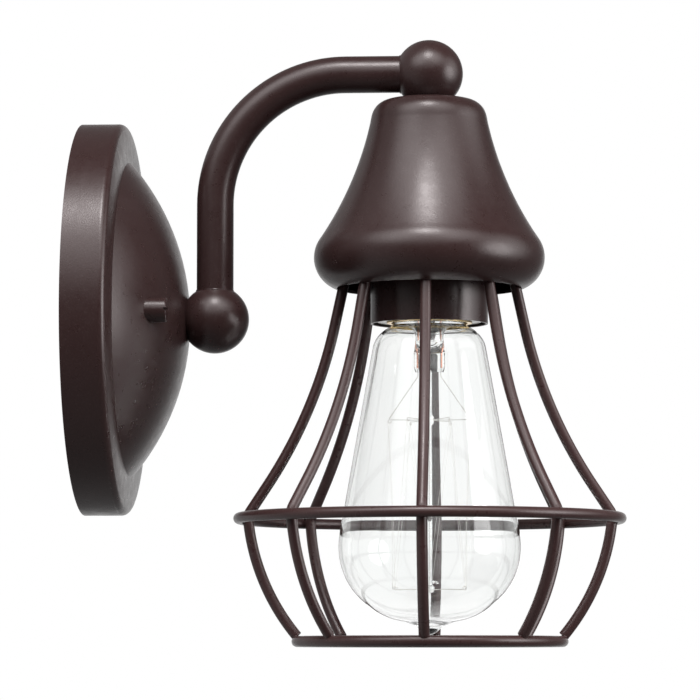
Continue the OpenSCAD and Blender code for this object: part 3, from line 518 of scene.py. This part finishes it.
def rib_path():
    """Centre line of one rib as (radius, height), from the cage plate down to the bottom ring."""
    def down(a):
        return Vector((math.sin(math.radians(a)), -math.cos(math.radians(a))))

    def outer(a):
        return Vector((math.cos(math.radians(a)), math.sin(math.radians(a))))

    def slope(a):
        return math.tan(math.radians(a))

    knee = Vector((MIDDLE_R - 2 * WIRE_R + WELD - KNEE_R, MIDDLE_Z))
    knee_start = knee + KNEE_R * outer(LEAN_KNEE)
    knee_end = knee + KNEE_R * outer(-LEAN_BELOW)
    mouth = Vector((CAP_MOUTH_R - WIRE_R / math.cos(math.radians(LEAN_TOP)) - MOUTH_GAP, CAP_MOUTH))
    reach = knee_start.x - mouth.x - slope(LEAN_KNEE) * (mouth.y - knee_start.y)
    drop = reach / (slope(LEAN_TOP) - slope(LEAN_KNEE))
    corner = mouth + Vector((slope(LEAN_TOP), -1)) * drop
    start = corner - down(LEAN_TOP) * UPPER_R * slope((LEAN_KNEE - LEAN_TOP) / 2)
    top_r = mouth.x - (RIB_TOP - mouth.y) * slope(LEAN_TOP)
    foot = Vector((BOTTOM_R + RIB_OVERHANG, BOTTOM_Z + WIRE_R - RIB_BITE))
    span = foot - knee_end
    lower_r = -span.dot(span) / (2 * span.dot(outer(-LEAN_BELOW)))
    sine = math.sin(math.radians(LEAN_BELOW)) + (knee_end.y - foot.y) / lower_r
    belly_lean = math.degrees(math.asin(sine))
    upper_centre = start + UPPER_R * outer(LEAN_TOP)
    belly_centre = knee_end - lower_r * outer(-LEAN_BELOW)
    path = [Vector((top_r, RIB_TOP)).lerp(start, k / 6) for k in range(6)]
    path += [upper_centre - UPPER_R * outer(LEAN_TOP + (LEAN_KNEE - LEAN_TOP) * k / 24) for k in range(25)]
    path += [knee + KNEE_R * outer(LEAN_KNEE - (LEAN_KNEE + LEAN_BELOW) * k / 10) for k in range(11)]
    path += [belly_centre + lower_r * outer(-LEAN_BELOW - (belly_lean - LEAN_BELOW) * k / 26)
             for k in range(1, 27)]
    return path


RIB_PATH = rib_path()
for i in range(RIBS):
    spin = Matrix.Translation((HEAD, 0, 0)) @ Matrix.Rotation(TAU * i / RIBS, 4, "Z")
    bar = sweep([(p.x, 0, p.y) for p in RIB_PATH], WIRE_R, 24, bevel=0.25)
    # Weld metal on both sides at the bottom ring, then above and below at the middle ring
    drops = [
        nugget((BOTTOM_R + 0.2, 1.35, BOTTOM_Z + 1.65), (1.0, 0.75, 0.7), 3.1 * i + 1),
        nugget((BOTTOM_R + 0.4, -1.3, BOTTOM_Z + 1.7), (0.9, 0.7, 0.65), 3.1 * i + 2),
        nugget((MIDDLE_R - WIRE_R + 0.1, 0.2, MIDDLE_Z + 1.55), (1.0, 1.5, 0.6), 3.1 * i + 3),
        nugget((MIDDLE_R - WIRE_R + 0.1, -0.2, MIDDLE_Z - 1.5), (0.9, 1.4, 0.55), 3.1 * i + 4),
    ]
    piece(f"rib_{i + 1}", [turned(s, spin) for s in [bar] + drops], "fixture",
          WIRE_BRONZE_PAINTED_LIGHT, (f"cage_rib_{i + 1}",), sharp=40)

# Fixings behind the canopy

STUD_R, STUD_PITCH, STUD_THREAD = 2.05, 0.794, 0.28
NIPPLE_R, NIPPLE_BORE_R, NIPPLE_PITCH, NIPPLE_THREAD = 4.95, 3.35, 0.94, 0.4
NIPPLE_START, NIPPLE_STOP = (corner[X] for corner in node_box("lower_nipple"))
NUT_FLATS, NUT_H = 2 * half_width("lower_nut", Y), 2 * half_width("lower_nut", X)
STUD_NUT_FLATS, STUD_NUT_H = 8.7, 2 * half_width("stud_lock_nuts", X)
HOLE_GAP = 0.02

stud = thread(STUD_R, STUD_THREAD, STUD_PITCH, 0, STUD_LENGTH, sides=24, per_turn=5)
piece("studs", [outward(stud, 0, y, 0) for y in (-STUD_Y, STUD_Y)],
      "fixture", ZINC, ("canopy_studs",))
stud_nut = hex_nut(STUD_NUT_FLATS, STUD_NUT_H, STUD_R + HOLE_GAP)
piece("lock_nuts", [outward(stud_nut, PLATE_T, y, 0) for y in (-STUD_Y, STUD_Y)],
      "fixture", ZINC, ("stud_lock_nuts",))
nipple_length = round(NIPPLE_STOP - NIPPLE_START, 1)
nipple = thread(NIPPLE_R, NIPPLE_THREAD, NIPPLE_PITCH, 0, nipple_length, NIPPLE_BORE_R)
piece("hollow_screw", outward(nipple, NIPPLE_START), "fixture", ZINC, ("lower_nipple",))
pipe_nut = hex_nut(NUT_FLATS, NUT_H, NIPPLE_R + HOLE_GAP)
lower_nut_x = node_box("lower_nut")[0][X]
holder_nut_z = node_box("holder_nut")[0][Z]
piece("hollow_screw_nut", outward(pipe_nut, lower_nut_x),
      "fixture", ZINC, ("lower_nut",))
piece("holder_hex_nut", at_head(pipe_nut, holder_nut_z),
      "fixture", ZINC, ("holder_nut",))


def slotted_hex(flats, height, slot_w, slot_d):
    """Hexagon head on Z = 0 with a turned top, a centre mark and a straight slot across it."""
    centre_hole = 0.02
    bm = bmesh.new()
    verts, faces = hex_nut(flats, height, centre_hole)
    made = [bm.verts.new(v) for v in verts]
    for f in faces:
        bm.faces.new([made[i] for i in f])
    bm.verts.ensure_lookup_table()
    for side in (1, -1):
        bmesh.ops.bisect_plane(bm, geom=bm.verts[:] + bm.edges[:] + bm.faces[:],
                               plane_co=(0, side * slot_w / 2, 0), plane_no=(0, side, 0))
    out_v = [tuple(v.co) for v in bm.verts]
    index = {v: i for i, v in enumerate(bm.verts)}
    out_f = [tuple(index[v] for v in f.verts) for f in bm.faces]
    bm.free()
    low = height - slot_d
    sunk = [(x, y, min(z, low) if abs(y) < slot_w / 2 + 1e-6 else z) for x, y, z in out_v]
    return sunk, out_f


# Leads


def run(points, least_steps=8):
    """Smooth route through (x, y, z[, bend radius]) corners."""
    out = []
    for i, corner in enumerate(points):
        here = Vector(corner[:3])
        if len(corner) < 4 or i in (0, len(points) - 1):
            out.append(here)
            continue
        a = (Vector(points[i - 1][:3]) - here).normalized()
        b = (Vector(points[i + 1][:3]) - here).normalized()
        half = a.angle(b) / 2
        r = corner[3]
        centre = here + (a + b).normalized() * (r / math.sin(half))
        first = here + a * (r / math.tan(half)) - centre
        turn = math.pi - 2 * half
        axis = a.cross(b).normalized()
        steps = max(least_steps, int(r))
        out += [centre + Matrix.Rotation(-turn * k / steps, 3, axis) @ first for k in range(steps + 1)]
    return out


def cut(path, start, stop):
    """The part of a path between two lengths along it."""
    out, gone = [], 0.0
    for p, q in zip(path, path[1:]):
        step = (q - p).length
        for edge in (start, stop):
            if gone < edge < gone + step:
                out.append(p.lerp(q, (edge - gone) / step))
        if start <= gone + step <= stop:
            out.append(q)
        gone += step
    if start <= 0:
        out.insert(0, path[0])
    return out


def length(path):
    return sum((q - p).length for p, q in zip(path, path[1:]))


LEAD_R, STRAND_R, STRAND_PITCH_R = 1.1, 0.21, 0.42
OUTER_STRANDS = 6
LEAD_BEND, ARM_BEND, TERMINAL_BEND = 5, 46, 2.5


def lead(side, name, look, node):
    """Stranded lead with a bare end at the tail and another at its terminal; side is 1 or -1 along Y."""
    low, high = node_box(node)
    tail_x, tail_z = round(low[X] + LEAD_R, 1), low[Z]
    y, terminal_y = 2 * LEAD_R * side, (high if side > 0 else low)[Y]
    terminal_z = round(node_box("holder_body")[1][Z] + LEAD_R, 1)
    path = run([(tail_x, y, tail_z), (tail_x, y, 0, LEAD_BEND), (ARM_X, y, 0, LEAD_BEND),
                (ARM_X, y, ARM_Z, ARM_BEND), (HEAD, y, ARM_Z, LEAD_BEND),
                (HEAD, y, terminal_z, TERMINAL_BEND), (HEAD, terminal_y, terminal_z)])
    whole = length(path)
    tail_strip, terminal_strip, under = 6.5, 3.2, 1.0
    jacket = cut(path, tail_strip, whole - terminal_strip)
    piece(name, sweep(jacket, LEAD_R, 16, bevel=0.2), "fixture",
          look, (node,))
    strands = []
    for k in range(OUTER_STRANDS + 1):
        t = TAU * k / OUTER_STRANDS
        out = STRAND_PITCH_R if k < OUTER_STRANDS else 0
        upright = Vector((out * math.cos(t), out * math.sin(t), 0))
        level = Vector((upright.x, 0, upright.y))
        for way, start, stop in ((upright, 0, tail_strip + under),
                                 (level, whole - terminal_strip - under, whole)):
            strands.append(sweep([p + way for p in cut(path, start, stop)], STRAND_R, 8, bevel=0.08))
    piece(name + "_strands", strands, "fixture", COPPER)


lead(1, "black_lead", BLACK_PVC, "lead_black")
lead(-1, "white_lead", WHITE_PVC, "lead_white")

GROUND_R, GROUND_CORE_R, GROUND_BEND = 0.9, 0.5, 4
GROUND_Z = middle("ground_screw", Z)
GROUND_START = node_box("ground_wire")[0][X]
GROUND_X = round(node_box("ground_wire")[1][X] - GROUND_R, 1)
GROUND_TOP = round(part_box("ground_wire")[1][Z] / MM, 2)
GROUND_STRIP_LOW, GROUND_STRIP_HIGH = 2.5, 2.0
GROUND_CORE_LOW, GROUND_CORE_HIGH = 3.2, 3.0
GROUND_SCREW_R, GROUND_SCREW_LENGTH, GROUND_SCREW_THREAD = 2.0, 1.7, 0.3
GROUND_HEAD_FLATS, GROUND_HEAD_H, SLOT_W, SLOT_D = 7.79, 2.4, 1.0, 0.9
ground = run([(GROUND_START, 0, GROUND_Z), (GROUND_X, 0, GROUND_Z, GROUND_BEND), (GROUND_X, 0, GROUND_TOP)])
whole = length(ground)
jacket = cut(ground, GROUND_STRIP_LOW, whole - GROUND_STRIP_HIGH)
piece("green_wire", sweep(jacket, GROUND_R, 16, bevel=0.2), "fixture",
      GREEN_PVC, ("ground_wire",))
cores = [cut(ground, 0, GROUND_CORE_LOW), cut(ground, whole - GROUND_CORE_HIGH, whole)]
piece("green_wire_ends", [sweep(core, GROUND_CORE_R, 12, bevel=0.1) for core in cores],
      "fixture", COPPER)
screw_head = slotted_hex(GROUND_HEAD_FLATS, GROUND_HEAD_H, SLOT_W, SLOT_D)
screw_shank = thread(GROUND_SCREW_R, GROUND_SCREW_THREAD, STUD_PITCH, 0, GROUND_SCREW_LENGTH, sides=24)
piece("ground_hex_screw", [outward(screw_head, PLATE_T, 0, GROUND_Z), outward(screw_shank, 0, 0, GROUND_Z)],
      "fixture", GREEN_ZINC, ("ground_screw",))

# Lampholder shell and bulb base

E26_PITCH, E26_DEPTH = 3.6286, 0.72


def rolled(low, high, skirt, crest_r, skirt_r, end_r, wall, sides=72, per_turn=10):
    """Rolled sheet-metal screw shell: a plain skirt, then rounded threads that run out to end_r."""
    run_out = 2.0
    rows = int((high - low) / E26_PITCH * per_turn)
    verts, faces = [], []
    for inset in (0.0, wall):
        start = len(verts)
        for i in range(rows + 1):
            z = low + (high - low) * i / rows
            above = min(1.0, max(0.0, (z - low - skirt) / run_out))
            below = min(1.0, max(0.0, (high - z) / run_out))
            for k in range(sides):
                wave = 0.5 + 0.5 * math.cos(TAU * (z / E26_PITCH - k / sides))
                r = crest_r - E26_DEPTH * (1 - wave)
                r = skirt_r + (r - skirt_r) * above
                r = end_r + (r - end_r) * below - inset
                verts.append((r * math.cos(TAU * k / sides), r * math.sin(TAU * k / sides), z))
        for i in range(rows):
            a, b = start + i * sides, start + (i + 1) * sides
            faces += [(a + k, a + (k + 1) % sides, b + (k + 1) % sides, b + k) for k in range(sides)]
    inner, last = (rows + 1) * sides, rows * sides
    for k in range(sides):
        n = (k + 1) % sides
        faces.append((k, inner + k, inner + n, n))
        faces.append((last + k, last + n, inner + last + n, inner + last + k))
    return verts, faces


# The holder's shell is 0.15 mm wider than the base all along the thread, so that the bulb screws out freely
BASE_CREST_R, BASE_SKIRT_R, BASE_SKIRT_H, BASE_WALL = 13.13, 12.78, 4.5, 0.35
SHELL_CREST_R, SHELL_TOP_R, SHELL_SKIRT_H, SHELL_WALL = 13.60, 13.25, 7.0, 0.32
BASE_LOW, BASE_HIGH = (corner[Z] for corner in node_box("bulb_base"))
FLANGE_LOW, SHELL_HIGH = (corner[Z] for corner in node_box("screw_shell"))
FLANGE_R, FLANGE_T, FLANGE_BORE_R, SHELL_LOW = 15.0, 0.5, 13.4, -1.5
base_shell = rolled(BASE_LOW, BASE_HIGH, BASE_SKIRT_H, BASE_CREST_R, BASE_SKIRT_R,
                    BASE_CREST_R - E26_DEPTH, BASE_WALL)
piece("bulb_screw_base", at_head(base_shell), "bulb", BRASS, ("bulb_base",))
holder_shell = rolled(SHELL_LOW, SHELL_HIGH, SHELL_SKIRT_H, SHELL_CREST_R, SHELL_CREST_R,
                      SHELL_TOP_R, SHELL_WALL)
flange = revolve(rounded([
    (FLANGE_BORE_R, FLANGE_LOW, 0.15), (FLANGE_R, FLANGE_LOW, 0.2),
    (FLANGE_R, FLANGE_LOW + FLANGE_T, 0.2), (FLANGE_BORE_R, FLANGE_LOW + FLANGE_T)]), 96)
piece("holder_screw_shell", [at_head(holder_shell), at_head(flange)], "fixture", BRASS,
      ("screw_shell",))

# Bulb

GLASS_WALL = 0.8
BULB_SIDE_R, BULB_END_R, BULB_SLOPE = 26.5, 60.0, 0.18
TIP_H, TIP_ROOT_R = 3.8, 8.4
NECK_R, NECK_TOP, NECK_FILLET = 12.7, node_box("bulb_glass")[1][Z], 0.8
GLASS_SHOULDER_R, GLASS_SHOULDER_Z = 9.6, -10.5


def glass_profile():
    """Loop of the bulb's glass wall: down its outside from the neck, round the tip and back up its inside."""
    out = BULB_R - BULB_SIDE_R
    end_z = TIP + TIP_H + BULB_END_R
    belly = Vector((out, end_z - math.sqrt((BULB_END_R - BULB_SIDE_R) ** 2 - out * out)))
    join = math.degrees(math.atan2(belly.y - end_z, belly.x))
    cone = math.degrees(math.atan(BULB_SLOPE))
    across = Vector((math.cos(math.radians(cone)), math.sin(math.radians(cone))))
    foot = belly + BULB_SIDE_R * across
    cone_r = foot.x - BULB_SLOPE * (GLASS_SHOULDER_Z - foot.y)
    shoulder = Vector((cone_r, GLASS_SHOULDER_Z)) - GLASS_SHOULDER_R * across
    loops = []
    for inset in (0.0, GLASS_WALL):
        # The neck runs into the shoulder through a small hollow curve
        neck_r = NECK_R - inset
        crest = shoulder.y + GLASS_SHOULDER_R - inset
        line = [(neck_r, NECK_TOP)]
        line += arc((neck_r + NECK_FILLET, crest + NECK_FILLET), NECK_FILLET, 180, 250, 6)
        line += arc(shoulder, GLASS_SHOULDER_R - inset, 70, cone, 20)
        upper = Vector(line[-1])
        lower = belly + (BULB_SIDE_R - inset) * across
        line += [tuple(upper.lerp(lower, k / 12)) for k in range(1, 12)]
        line += arc(belly, BULB_SIDE_R - inset, cone, join, 40)
        if inset:
            line += arc((0, end_z), BULB_END_R - inset, join, -90, 30)[1:]
            line[-1] = (0.0, line[-1][1])
        else:
            # The tube through which the bulb was emptied is melted off to a small cone
            edge = math.degrees(math.acos(TIP_ROOT_R / BULB_END_R))
            line += arc((0, end_z), BULB_END_R, join, -edge, 22)[1:]
            line += [(r, TIP + h) for r, h in (
                (7.2, 4.0), (6.0, 3.55), (4.9, 2.95), (3.9, 2.22), (3.0, 1.45), (2.2, 0.8), (1.5, 0.36),
                (0.8, 0.08), (0.0, 0.0))]
        loops.append(line)
    return loops[0] + loops[1][::-1]


piece("bulb_envelope", at_head(revolve(glass_profile(), 160)), "bulb", GLASS,
      ("bulb_glass",), sharp=60)

PRESS_TOP, PRESS_LOW, STEM_R = -10.0, -19.0, 5.1
UPPER_HOOKS, LOWER_HOOKS, HOOK_R, HOOKS = -35.7, -95.2, 14.6, 6
ROD_R, BUTTON_R = 0.9, 1.55
HOOK_WIRE_R, FILAMENT_R, SUPPORT_R, PRESS_WIRE_R = 0.12, 0.05, 0.14, 0.30


def press():
    """Lower end of the stem's tube, pinched flat round the two wires."""
    verts, faces = [], []
    rows, sides = 16, 32
    start = PRESS_TOP + 2
    flat_by, end_from = 2.2, 0.85
    spread, half_t, end_w, end_d = 0.4, 2.0, 0.5, 0.6
    for i in range(rows + 1):
        t = i / rows
        z = start + (PRESS_LOW - start) * t
        flat = min(1.0, t * flat_by)
        flat = flat * flat * (3 - 2 * flat)
        end = max(0.0, t - end_from) / (1 - end_from)
        half_w = STEM_R + spread * flat - end_w * end
        half_d = STEM_R * (1 - flat) + half_t * flat - end_d * end
        for k in range(sides):
            a = TAU * k / sides
            power = 1.0 - 0.35 * flat
            c, s = math.cos(a), math.sin(a)
            verts.append((half_w * math.copysign(abs(c) ** power, c),
                          half_d * math.copysign(abs(s) ** power, s), z))
    for i in range(rows):
        a, b = i * sides, (i + 1) * sides
        faces += [(a + k, a + (k + 1) % sides, b + (k + 1) % sides, b + k) for k in range(sides)]
    faces += [tuple(reversed(range(sides))), tuple(range(rows * sides, (rows + 1) * sides))]
    return verts, faces


def flare_profile():
    """Loop of the stem's tube: a rim sealed to the neck, then a flare drawn in to the press."""
    rim = [(11.7, 1.9), (11.75, 1.4), (11.4, 1.0)]
    outer = arc((11.2, -6.6), 6.2, 108, 178, 14)
    low = [(5.15, PRESS_TOP + 1.5), (4.2, PRESS_TOP + 1.5)]
    inner = arc((11.6, -6.2), 7.0, 178, 112, 14)
    return rim + outer + low + inner + [(11.0, 2.0)]


stem_tube = revolve(flare_profile(), 64)
rod = revolve(rounded([
    (0.0, PRESS_LOW + 0.6), (ROD_R, PRESS_LOW + 0.6), (ROD_R, UPPER_HOOKS + 2.2),
    (BUTTON_R, UPPER_HOOKS + 0.9, 0.5), (BUTTON_R, UPPER_HOOKS - 0.9, 0.5), (ROD_R, UPPER_HOOKS - 2.2),
    (ROD_R, LOWER_HOOKS + 2.2), (BUTTON_R + 0.05, LOWER_HOOKS + 0.8, 0.5),
    (BUTTON_R - 0.05, LOWER_HOOKS - 1.0, 0.7), (0.0, LOWER_HOOKS - 1.2)]), 32)
piece("stem", [at_head(stem_tube), at_head(press()), at_head(rod)], "bulb", STEM_GLASS,
      ("bulb_stem",), sharp=50)


def hook(turn, z, up):
    """One support wire: straight out from the rod, ending in a small curl that holds the filament."""
    curl_r, steps = 0.6, 14
    path = [(1.2, 0, 0), (5, 0, 0.15 * up), (9, 0, 0.1 * up)]
    for k in range(steps + 1):
        t = TAU * 0.8 * k / steps
        path.append((HOOK_R - curl_r + curl_r * math.sin(t), 0.3 * math.sin(t / 2),
                     up * curl_r * (1 - math.cos(t))))
    place = Matrix.Translation((HEAD, 0, z)) @ Matrix.Rotation(turn, 4, "Z")
    return turned(sweep(path, HOOK_WIRE_R, 8, bevel=0.04), place)


piece("hooks", [hook(TAU * k / HOOKS, UPPER_HOOKS, -1) for k in range(HOOKS)]
      + [hook(TAU * (k + 0.5) / HOOKS, LOWER_HOOKS, 1) for k in range(HOOKS)],
      "bulb", TUNGSTEN, ("filament_hooks",))


def strand(i):
    """One leg of the filament, hung in a shallow bow between an upper and a lower hook."""
    half_step = TAU / (2 * HOOKS)
    high, low = (i + i % 2) * half_step, (i + 1 - i % 2) * half_step
    p = Vector((HOOK_R * math.cos(high), HOOK_R * math.sin(high), UPPER_HOOKS - 0.5))
    q = Vector((HOOK_R * math.cos(low), HOOK_R * math.sin(low), LOWER_HOOKS + 0.5))
    path = []
    for k in range(25):
        t = k / 24
        at = p.lerp(q, t)
        bow = math.sin(math.pi * t) * (0.5 + 0.25 * noise.noise(Vector((i * 1.7, t * 2, 0))))
        away = Vector((at.x, at.y, 0)).normalized()
        path.append(at - away * bow)
    return at_head(sweep(path, FILAMENT_R, 6))


piece("filament_strands", [strand(i) for i in range(2 * HOOKS)], "bulb", TUNGSTEN, ("filament",))

PRESS_WIRE_X = 4.0


def support(side):
    """Lead-in wire: down through the press and out to the upper hooks."""
    x = PRESS_WIRE_X * side
    path = run([(x, 0, PRESS_LOW + 1.2), (x, 0, PRESS_LOW - 1.5, 2.0),
                (side * (HOOK_R - 0.4), 0, UPPER_HOOKS + 0.3)])
    return at_head(sweep(path, SUPPORT_R, 10, bevel=0.05))


def press_wire(side):
    """Copper-clad wire that the glass is sealed round, up to the base."""
    top, step, count = 24.0, 0.5, 84
    path = [(PRESS_WIRE_X * side, 0, top - step * k) for k in range(count)]
    return at_head(sweep(path, PRESS_WIRE_R, 10, bevel=0.08))


piece("press_wires", [press_wire(-1), press_wire(1)], "bulb", COPPER, ("bulb_leads",))
piece("hook_wires", [support(-1), support(1)], "bulb", TUNGSTEN)
insulator = revolve(rounded([
    (0.0, 24.0), (12.55, 24.0), (12.55, 25.3, 0.5), (12.2, 25.9, 0.6), (6.4, 28.0, 0.8), (4.7, 28.25),
    (0.0, 28.25)]), 72)
piece("base_insulator", at_head(insulator), "bulb", BLACK_GLASS, ("bulb_insulator",))


def contact_drop():
    """Solder on the bulb's foot: a low cap with an uneven skin."""
    verts, faces = revolve([(0.0, 28.1), (4.6, 28.1), (4.8, 28.3), (4.55, 28.62), (3.9, 28.9), (2.8, 29.08),
                            (1.4, 29.17), (0.0, 29.2)], 48)
    out = []
    for x, y, z in verts:
        shrink = 1 - 0.03 * (1 + noise.noise(Vector((x, y, z)) * 0.9))
        dip = 0.05 + 0.05 * noise.noise(Vector((x, y, 7.0)) * 0.7)
        out.append((x * shrink, y * shrink, z - dip * (z > 28.5)))
    return out, faces


piece("bulb_foot_contact", at_head(contact_drop()), "bulb_lift", SOLDER, ("bulb_contact",))

# Stage


def toward(azimuth, elevation):
    """Unit vector; azimuth 0 is in front of the object, 90 to its right."""
    a, e = math.radians(azimuth), math.radians(elevation)
    return Vector((math.sin(a) * math.cos(e), -math.cos(a) * math.cos(e), math.sin(e)))


LAMP_AIM, LAMP_DISTANCE = Vector((0.09, 0, 0)), 2


def disc_lamp(name, azimuth, elevation, size, power):
    """Round soft lamp that faces the object from LAMP_DISTANCE metres."""
    light = bpy.data.lights.new(name, "AREA")
    light.shape = "DISK"
    light.size = size
    light.energy = power
    obj = bpy.data.objects.new(name, light)
    way = toward(azimuth, elevation)
    obj.location = LAMP_AIM + way * LAMP_DISTANCE
    obj.rotation_euler = way.to_track_quat("Z", "Y").to_euler()
    bpy.context.scene.collection.objects.link(obj)


disc_lamp("key", 0, 61, 0.6, 19.0)
disc_lamp("side", 75, 4, 1.2, 14.0)

FLOOR_HALF, FLOOR_Z = 4.0, -0.62
floor_mesh = bpy.data.meshes.new("floor")
bm = bmesh.new()
bmesh.ops.create_grid(bm, x_segments=1, y_segments=1, size=FLOOR_HALF)
bm.to_mesh(floor_mesh)
bm.free()
floor = bpy.data.objects.new("floor", floor_mesh)
floor.location = (0, 0, FLOOR_Z)
bpy.context.scene.collection.objects.link(floor)
pale = Look("floor_paint")
pale.feed("Base Color", pale.blend(pale.span(pale.noise(3, 3), 0, 1), (0.86, 0.86, 0.86), (0.89, 0.89, 0.89)))
pale.set(Roughness=0.8)
floor_mesh.materials.append(pale.material)
# The floor shows in the picture but throws no light up onto the object
floor.visible_diffuse = False
floor.visible_glossy = False

world = bpy.data.worlds.new("studio")
bpy.context.scene.world = world
world.use_nodes = True
tree = world.node_tree
tree.nodes.clear()
output = tree.nodes.new("ShaderNodeOutputWorld")
white = tree.nodes.new("ShaderNodeBackground")
white.inputs["Color"].default_value = (1, 1, 1, 1)
around = tree.nodes.new("ShaderNodeBackground")
# Soft white panels round the object: azimuth, elevation and half width in degrees, then strength
PANELS = {
    "front_bank": (0, 50, 42, 2.5),
    "left_box": (-42, 40, 28, 3.3),
    "right_top": (40, 45, 28, 2.8),
    "right_wall": (85, 12, 38, 2.6),
    "backdrop": (180, 0, 28, 1.1),
    "left_room": (-90, 0, 90, 0.5),
    "back_room": (180, 0, 90, 0.2),
    "ground": (0, -90, 90, 0.2),
}
# Seen only in a sharp reflection, as on glass: the white sweep behind the object and below it
SWEEP = (180, -38, 52, 1.0)
direction = tree.nodes.new("ShaderNodeTexCoord")
rays = tree.nodes.new("ShaderNodeLightPath")


def panel(azimuth, elevation, width, strength):
    """Strength of one panel in each direction, brightest at its middle and nothing past its half width."""
    facing = tree.nodes.new("ShaderNodeVectorMath")
    facing.operation = "DOT_PRODUCT"
    facing.inputs[1].default_value = toward(azimuth, elevation)
    tree.links.new(direction.outputs["Generated"], facing.inputs[0])
    part = tree.nodes.new("ShaderNodeMapRange")
    part.interpolation_type = "SMOOTHSTEP"
    edge = math.cos(math.radians(width))
    for key, value in (("From Min", edge), ("From Max", 1), ("To Min", 0), ("To Max", strength)):
        part.inputs[key].default_value = value
    tree.links.new(facing.outputs["Value"], part.inputs["Value"])
    return part.outputs[0]


def joined(operation, first, second):
    node = tree.nodes.new("ShaderNodeMath")
    node.operation = operation
    tree.links.new(first, node.inputs[0])
    tree.links.new(second, node.inputs[1])
    return node.outputs[0]


glow = joined("MULTIPLY", panel(*SWEEP), rays.outputs["Is Singular Ray"])
for light in PANELS.values():
    glow = joined("ADD", glow, panel(*light))
tree.links.new(glow, around.inputs["Strength"])
mix = tree.nodes.new("ShaderNodeMixShader")
plain_white = joined("MAXIMUM", rays.outputs["Is Camera Ray"], rays.outputs["Is Transmission Ray"])
tree.links.new(plain_white, mix.inputs[0])
tree.links.new(around.outputs[0], mix.inputs[1])
tree.links.new(white.outputs[0], mix.inputs[2])
tree.links.new(mix.outputs[0], output.inputs["Surface"])

# A long lens, placed as a camera fitted to the photograph
CAMERA_LENS, CAMERA_SENSOR = 200, 36
CAMERA_AT, CAMERA_TILT, CAMERA_TURN = (0.17803, -1.35993, -0.12062), 94.6, 3.55
camera_data = bpy.data.cameras.new("camera")
camera_data.lens = CAMERA_LENS
camera_data.sensor_width = CAMERA_SENSOR
camera = bpy.data.objects.new("camera", camera_data)
camera.location = CAMERA_AT
camera.rotation_euler = (math.radians(CAMERA_TILT), 0, math.radians(CAMERA_TURN))
bpy.context.scene.collection.objects.link(camera)
bpy.context.scene.camera = camera
bpy.context.scene.view_settings.view_transform = "Standard"
